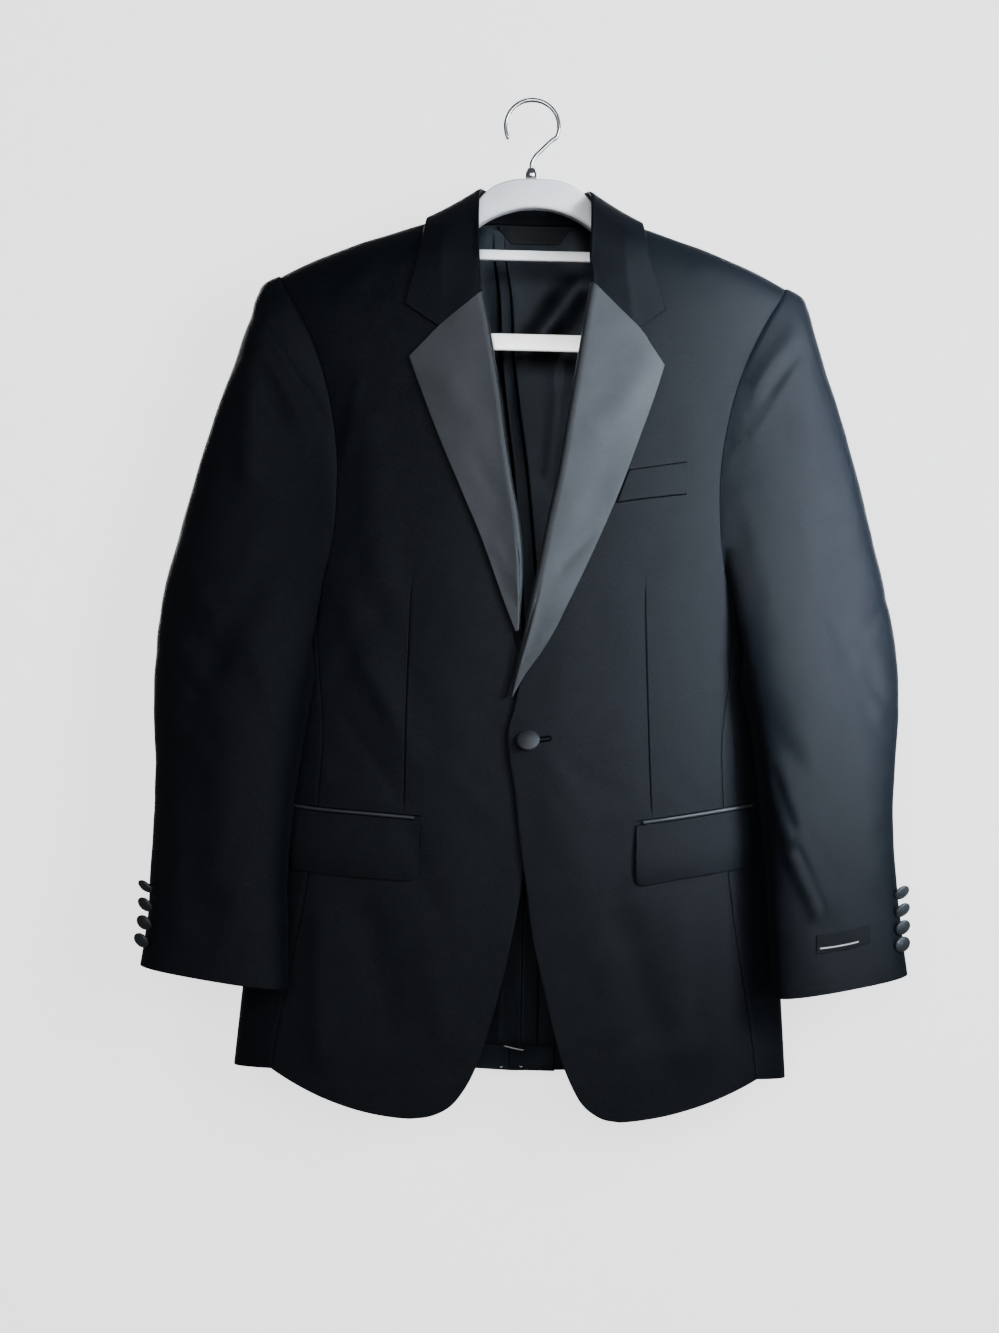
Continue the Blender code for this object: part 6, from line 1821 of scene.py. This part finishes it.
class TuxedoSizes(bpy.types.PropertyGroup):
    """The jacket's sizes, in millimetres."""

    wool_wall: length("Wool thickness", "Thickness of the wool with its canvas, in millimetres", 2.0)
    satin_wall: length("Satin thickness", "Thickness of the satin lapel's leaf, in millimetres", 1.6)
    collar_wall: length("Collar thickness", "Thickness of the collar's leaf, in millimetres", 2.2)
    button_radius: length("Front button radius", "Radius of the front button, in millimetres", 9.0)
    button_height: length("Front button height", "Height of the front button, in millimetres", 5.0)
    sleeve_button_radius: length("Sleeve button radius", "Radius of a sleeve button, in millimetres", 7.4)
    sleeve_button_height: length("Sleeve button height", "Height of a sleeve button, in millimetres", 4.6)


class TuxedoLooks(bpy.types.PropertyGroup):
    """The colours, weaves and lights."""

    wool: tint("Wool", "Colour of the wool", (0.0027, 0.0040, 0.0060))
    satin: tint("Satin", "Colour of the satin", (0.0155, 0.0172, 0.0195))
    lining: tint("Lining", "Colour of the lining", (0.0014, 0.002, 0.003))
    label: tint("Label", "Ground colour of the labels", (0.0026, 0.0036, 0.0052))
    label_line: bpy.props.FloatProperty(name="Label line", description="Strength of its line", default=1.0)
    plastic: tint("Hanger", "Colour of the hanger's plastic", (0.80, 0.82, 0.85))
    wall: tint("Wall", "Colour of the wall and floor", (0.80, 0.80, 0.82))
    twill_pitch: length("Twill pitch", "Distance between the twill's ridges, in millimetres", 0.65)
    satin_pitch: length("Satin pitch", "Distance between the satin's threads, in millimetres", 0.5)
    key_power: power("Key light", "Power of the key light", 7.5)
    spot_power: power("Neck spot", "Power of the spot into the neck", 420.0)
    side_power: power("Side fill", "Power of the side fill", 16.0)
    rear_power: power("Rear lights", "Power of each rear light", 70.0)
    fill_power: power("Fill light", "Power of the fill light", 25.0)


# ---------------------------------------------------------------- putting the pieces on the frame


def dress(piece, slot, *nodes):
    """Hangs a piece on the frame, in place of its solids."""
    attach(piece, "root")
    if nodes:
        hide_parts(*nodes)
    if piece.name in CUTS:
        width, long, area, held, rests_on = CUTS[piece.name]
        list(rests_on)
    return piece


class TuxedoOperator:
    """What the jacket's operators share."""

    bl_options = {"REGISTER", "UNDO"}

    def execute(self, context):
        self.make(context.scene.tuxedo_sizes, context.scene.tuxedo_looks)
        return {"FINISHED"}


class TUXEDO_OT_fronts(TuxedoOperator, bpy.types.Operator):
    """Make the two foreparts with their darts"""

    bl_idname = "tuxedo.fronts"
    bl_label = "Foreparts"

    def make(self, sizes, looks):
        for side in (RIGHT, LEFT):
            made = front_sheet(side, finish_of("wool_twill"), finish_of("back_lining"), sizes.wool_wall)
            dress(made, "wool", f"front_{SIDE_NAME[side]}")


class TUXEDO_OT_backs(TuxedoOperator, bpy.types.Operator):
    """Make the backs, the side bodies and the vent's underlap"""

    bl_idname = "tuxedo.backs"
    bl_label = "Backs and sides"

    def make(self, sizes, looks):
        wool, lining = finish_of("wool_twill"), finish_of("back_lining")
        for side in (RIGHT, LEFT):
            dress(side_sheet(side, wool, lining, sizes.wool_wall), "wool", f"side_panel_{SIDE_NAME[side]}")
            dress(back_sheet(side, wool, lining, sizes.wool_wall), "wool", f"back_{SIDE_NAME[side]}")
        dress(vent_sheet(wool, lining, sizes.wool_wall), "wool", "vent_underlap")


class TUXEDO_OT_sleeves(TuxedoOperator, bpy.types.Operator):
    """Make the top and under sleeves"""

    bl_idname = "tuxedo.sleeves"
    bl_label = "Sleeves"

    def make(self, sizes, looks):
        wool, lining = finish_of("wool_twill"), finish_of("back_lining")
        split = CORNER_COLUMN + FRONT_SEAM_COLUMN
        spans = {
            "top_sleeve": (-BACK_SEAM_COLUMN, split, TOP_SLEEVE_COLUMNS),
            "under_sleeve": (split, SLEEVE_COLUMNS - BACK_SEAM_COLUMN, UNDER_SLEEVE_COLUMNS),
        }
        for side in (RIGHT, LEFT):
            for name, (start, end, count) in spans.items():
                made = sleeve_sheet(side, name, start, end, count, wool, lining, sizes.wool_wall)
                dress(made, "wool", f"{name}_{SIDE_NAME[side]}")


class TUXEDO_OT_lapels(TuxedoOperator, bpy.types.Operator):
    """Make the satin lapels and the collar"""

    bl_idname = "tuxedo.lapels"
    bl_label = "Lapels and collar"

    def make(self, sizes, looks):
        for side in (RIGHT, LEFT):
            made = lapel_sheet(side, finish_of("lapel_satin"), sizes.satin_wall)
            dress(made, "satin", f"lapel_{SIDE_NAME[side]}")
        dress(collar_sheet(finish_of("wool_twill"), sizes.collar_wall), "wool", "collar")


class TUXEDO_OT_lining(TuxedoOperator, bpy.types.Operator):
    """Make the back's lining with its pleat, and the labels"""

    bl_idname = "tuxedo.lining"
    bl_label = "Lining and labels"

    def make(self, sizes, looks):
        dress(lining_sheet(finish_of("back_lining")), "lining", "back_lining")
        dress(neck_label_sheet(finish_of("woven_neck_label")), "woven_label", "neck_label")
        dress(sleeve_label_sheet(finish_of("label_ribbon")), "woven_label", "sleeve_label")
        dress(basting(finish_of("white_thread")), "white_plastic")
        # Dark seam lines: thread that also serves as painted shade in the seams' gaps.
        dress(seam_threads_and_shade(finish_of("black_thread_and_seam_shade")), "wool")


class TUXEDO_OT_pockets(TuxedoOperator, bpy.types.Operator):
    """Make the pocket flaps, their satin jets and the breast welt"""

    bl_idname = "tuxedo.pockets"
    bl_label = "Pockets"

    def make(self, sizes, looks):
        wool = finish_of("wool_twill")
        for side in (RIGHT, LEFT):
            dress(flap_sheet(side, wool, finish_of("back_lining")), "wool", f"flap_{SIDE_NAME[side]}")
            dress(jet_sheet(side, finish_of("lapel_satin")), "satin", f"jet_{SIDE_NAME[side]}")
        dress(welt_sheet(wool), "wool", "breast_welt")


class TUXEDO_OT_buttons(TuxedoOperator, bpy.types.Operator):
    """Make the covered buttons, their shanks and the buttonhole"""

    bl_idname = "tuxedo.buttons"
    bl_label = "Buttons"

    def make(self, sizes, looks):
        satin, thread = finish_of("lapel_satin"), finish_of("black_thread_and_seam_shade")
        place = coat_point(FRONT_BUTTON["x"], FRONT_BUTTON["z"], BUTTON_GAP)[0]
        axis = unit(np.array(FRONT_BUTTON_AXIS))
        seat = place - np.array((0.0, FRONT_BUTTON_STAND, 0.0))
        profile = dome(sizes.button_radius, sizes.button_height)
        made = turned("satin_front_button", profile, seat, axis, (0, 0, 1), 72, satin, TUCK_DEPTH, BUTTON_OVAL)
        dress(made, "satin", "front_button")
        shank = tube("thread_front_button", [place, (place + seat) / 2, seat + axis * 0.5], 1.8, thread, 12)
        dress(shank, "satin")
        dress(buttonhole(thread), "wool")
        for side in (RIGHT, LEFT):
            self.sleeve_buttons(side, sizes, satin, thread)

    def sleeve_buttons(self, side, sizes, satin, thread):
        rim, _ = sleeve_surface(side, np.linspace(12, CUFF_RING, 60), np.linspace(-3, 5, 41))
        edge = rim[np.arange(len(rim)), np.argmax(side * rim[..., 0], axis=1)]
        profile = dome(sizes.sleeve_button_radius, sizes.sleeve_button_height)
        leans = zip(SLEEVE_BUTTON_Z[side], SLEEVE_BUTTON_INSET[side], *SLEEVE_BUTTON_LEAN[side].values())
        for number, (z, inset, out, ahead, up) in enumerate(leans, 1):
            x = np.interp(-z, -edge[:, 2], edge[:, 0]) - side * inset
            (place,), (normal,) = on_sleeve(side, np.array([x]), np.array([float(z)]))
            axis = unit(np.array((side * out, -ahead, up)))
            lean = math.sqrt(max(0.0, 1 - float(axis @ normal) ** 2))
            seat = place + normal * (BUTTON_GAP + sizes.sleeve_button_radius * lean * SLEEVE_BUTTON_STAND)
            name = f"{SIDE_NAME[side]}_{number}"
            made = turned(f"satin_sleeve_button_{name}", profile, seat, axis, (0, 0, 1), 48, satin, TUCK_DEPTH)
            dress(made, "satin", f"sleeve_button_{name}")
            path = [place, (place + seat) / 2, seat + axis * 0.4]
            dress(tube(f"thread_sleeve_button_{name}", path, 1.3, thread, 10), "satin")


class TUXEDO_OT_hanger(TuxedoOperator, bpy.types.Operator):
    """Make the moulded hanger with its wire hook"""

    bl_idname = "tuxedo.hanger"
    bl_label = "Hanger"

    def make(self, sizes, looks):
        plastic, steel = finish_of("white_moulded_plastic"), finish_of("polished_hook_steel")
        dress(hanger_body(plastic), "white_plastic", "hanger_body")
        dress(hanger_crossbar(plastic), "white_plastic", "hanger_crossbar")
        dress(trouser_bar(plastic), "white_plastic", "trouser_bar")
        dress(hook_boss(steel), "hook_steel", "hanger_boss")
        dress(hook_wire(steel), "hook_steel", "hook")


def stage_plane(name, corners, paint, *unseen_by):
    """A large plane of the stage. The named rays pass through it."""
    made = mesh_piece(name, corners, [(0, 1, 2, 3)], [finish_of(paint)])
    for ray in unseen_by:
        setattr(made, f"visible_{ray}", False)
    return made


def aimed_light(name, data, place, target):
    """Puts a light in the scene and turns it to its target. Places are in metres."""
    made = bpy.data.objects.new(name, data)
    made.location = place
    made.rotation_euler = (Vector(target) - Vector(place)).to_track_quat("-Z", "Y").to_euler()
    bpy.context.scene.collection.objects.link(made)
    return made


def area_light(name, place, size, power_of, colour, target=LIT_MIDDLE):
    """A soft rectangular light."""
    data = bpy.data.lights.new(name, "AREA")
    data.shape, data.size, data.size_y = "RECTANGLE", *size
    data.energy, data.color = power_of, colour
    return aimed_light(name, data, place, target)


def key_light(power_of, wall):
    """The narrow key light from the wearer's left, which leaves the wall alone."""
    key = area_light("key_light", KEY["place"], KEY["size"], power_of, (0.84, 0.92, 1.0), KEY["target"])
    key.visible_camera = False
    key.data.spread = math.radians(KEY["spread"])
    unlit = bpy.data.collections.new("not_lit_by_the_key")
    unlit.objects.link(wall)
    unlit.collection_objects[0].light_linking.link_state = "EXCLUDE"
    key.light_linking.receiver_collection = unlit


def neck_spot(power_of):
    """A narrow soft spot into the open neck, for the hanger's bars."""
    data = bpy.data.lights.new("neck_spot", "SPOT")
    data.energy, data.color = power_of, (1.0, 0.98, 0.95)
    data.spot_size, data.spot_blend, data.shadow_soft_size = math.radians(NECK_SPOT["cone"]), 1.0, 0.06
    made = aimed_light("neck_spot", data, NECK_SPOT["place"], NECK_SPOT["target"])
    lit = bpy.data.collections.new("lit_by_the_neck_spot")
    for piece in bpy.data.objects:
        if piece.name.startswith("plastic_"):
            lit.objects.link(piece)
    made.light_linking.receiver_collection = lit


def studio_air():
    """Faint even light from all round."""
    world = bpy.data.worlds.new("studio_air")
    world.use_nodes = True
    air = world.node_tree.nodes["Background"]
    air.inputs["Color"].default_value = (0.93, 0.95, 1.0, 1.0)
    air.inputs["Strength"].default_value = AIR_GLOW
    bpy.context.scene.world = world


def studio_camera():
    """The camera, level with the middle of the jacket and a little rolled."""
    camera = bpy.data.cameras.new("camera")
    camera.lens, camera.sensor_width = CAMERA["lens"], CAMERA["sensor"]
    camera.clip_start, camera.clip_end = 0.05, 50.0
    made = bpy.data.objects.new("camera", camera)
    tilt = Matrix.Rotation(math.radians(90), 4, "X") @ Matrix.Rotation(math.radians(CAMERA["roll"]), 4, "Z")
    made.matrix_world = Matrix.Translation(Vector(CAMERA["place"])) @ tilt
    bpy.context.scene.collection.objects.link(made)
    bpy.context.scene.camera = made


class TUXEDO_OT_stage(TuxedoOperator, bpy.types.Operator):
    """Make the pale wall and floor, the soft lights and the camera"""

    bl_idname = "tuxedo.stage"
    bl_label = "Stage, lights and camera"

    def make(self, sizes, looks):
        wide, high, low, ahead, y = STAGE.values()
        corners = [(-wide, y, low), (wide, y, low), (wide, y, high), (-wide, y, high)]
        wall = stage_plane("studio_wall", corners, "wall_paint", "shadow", "diffuse", "glossy")
        corners = [(-wide, ahead, low), (wide, ahead, low), (wide, wide, low), (-wide, wide, low)]
        stage_plane("studio_floor", corners, "floor_paint", "diffuse", "glossy")
        key_light(looks.key_power, wall)
        area_light("side_fill", (0.8, -1.25, -0.25), (0.5, 1.0), looks.side_power, (0.86, 0.93, 1.0))
        area_light("front_fill", (-0.15, -2.3, -0.05), (1.0, 0.8), looks.fill_power, (0.97, 0.98, 1.0))
        neck_spot(looks.spot_power)
        for name, x in (("rear_left", -0.9), ("rear_right", 0.9)):
            area_light(name, (x, 2.2, 0.25), (1.5, 1.5), looks.rear_power, (1.0, 1.0, 1.0))
        studio_air()
        studio_camera()


class TUXEDO_PT_jacket(bpy.types.Panel):
    """Lists the jacket's sizes, looks and operators"""

    bl_label = "Tuxedo jacket"
    bl_idname = "TUXEDO_PT_jacket"
    bl_space_type = "VIEW_3D"
    bl_region_type = "UI"
    bl_category = "Tuxedo"

    def draw(self, context):
        for group in (context.scene.tuxedo_sizes, context.scene.tuxedo_looks):
            box = self.layout.box()
            for name in group.__annotations__:
                box.prop(group, name)
        for operator in OPERATORS:
            self.layout.operator(operator.bl_idname)


OPERATORS = (
    TUXEDO_OT_fronts,
    TUXEDO_OT_backs,
    TUXEDO_OT_sleeves,
    TUXEDO_OT_lapels,
    TUXEDO_OT_lining,
    TUXEDO_OT_pockets,
    TUXEDO_OT_buttons,
    TUXEDO_OT_hanger,
    TUXEDO_OT_stage,
)
CLASSES = (TuxedoSizes, TuxedoLooks, *OPERATORS, TUXEDO_PT_jacket)


def register():
    for item in CLASSES:
        bpy.utils.register_class(item)
    bpy.types.Scene.tuxedo_sizes = bpy.props.PointerProperty(type=TuxedoSizes)
    bpy.types.Scene.tuxedo_looks = bpy.props.PointerProperty(type=TuxedoLooks)


def unregister():
    del bpy.types.Scene.tuxedo_looks
    del bpy.types.Scene.tuxedo_sizes
    for item in reversed(CLASSES):
        bpy.utils.unregister_class(item)


def main():
    register()
    bpy.ops.tuxedo.fronts()
    bpy.ops.tuxedo.backs()
    bpy.ops.tuxedo.sleeves()
    bpy.ops.tuxedo.lapels()
    bpy.ops.tuxedo.lining()
    bpy.ops.tuxedo.pockets()
    bpy.ops.tuxedo.buttons()
    bpy.ops.tuxedo.hanger()
    bpy.ops.tuxedo.stage()


if __name__ == "__main__":
    main()
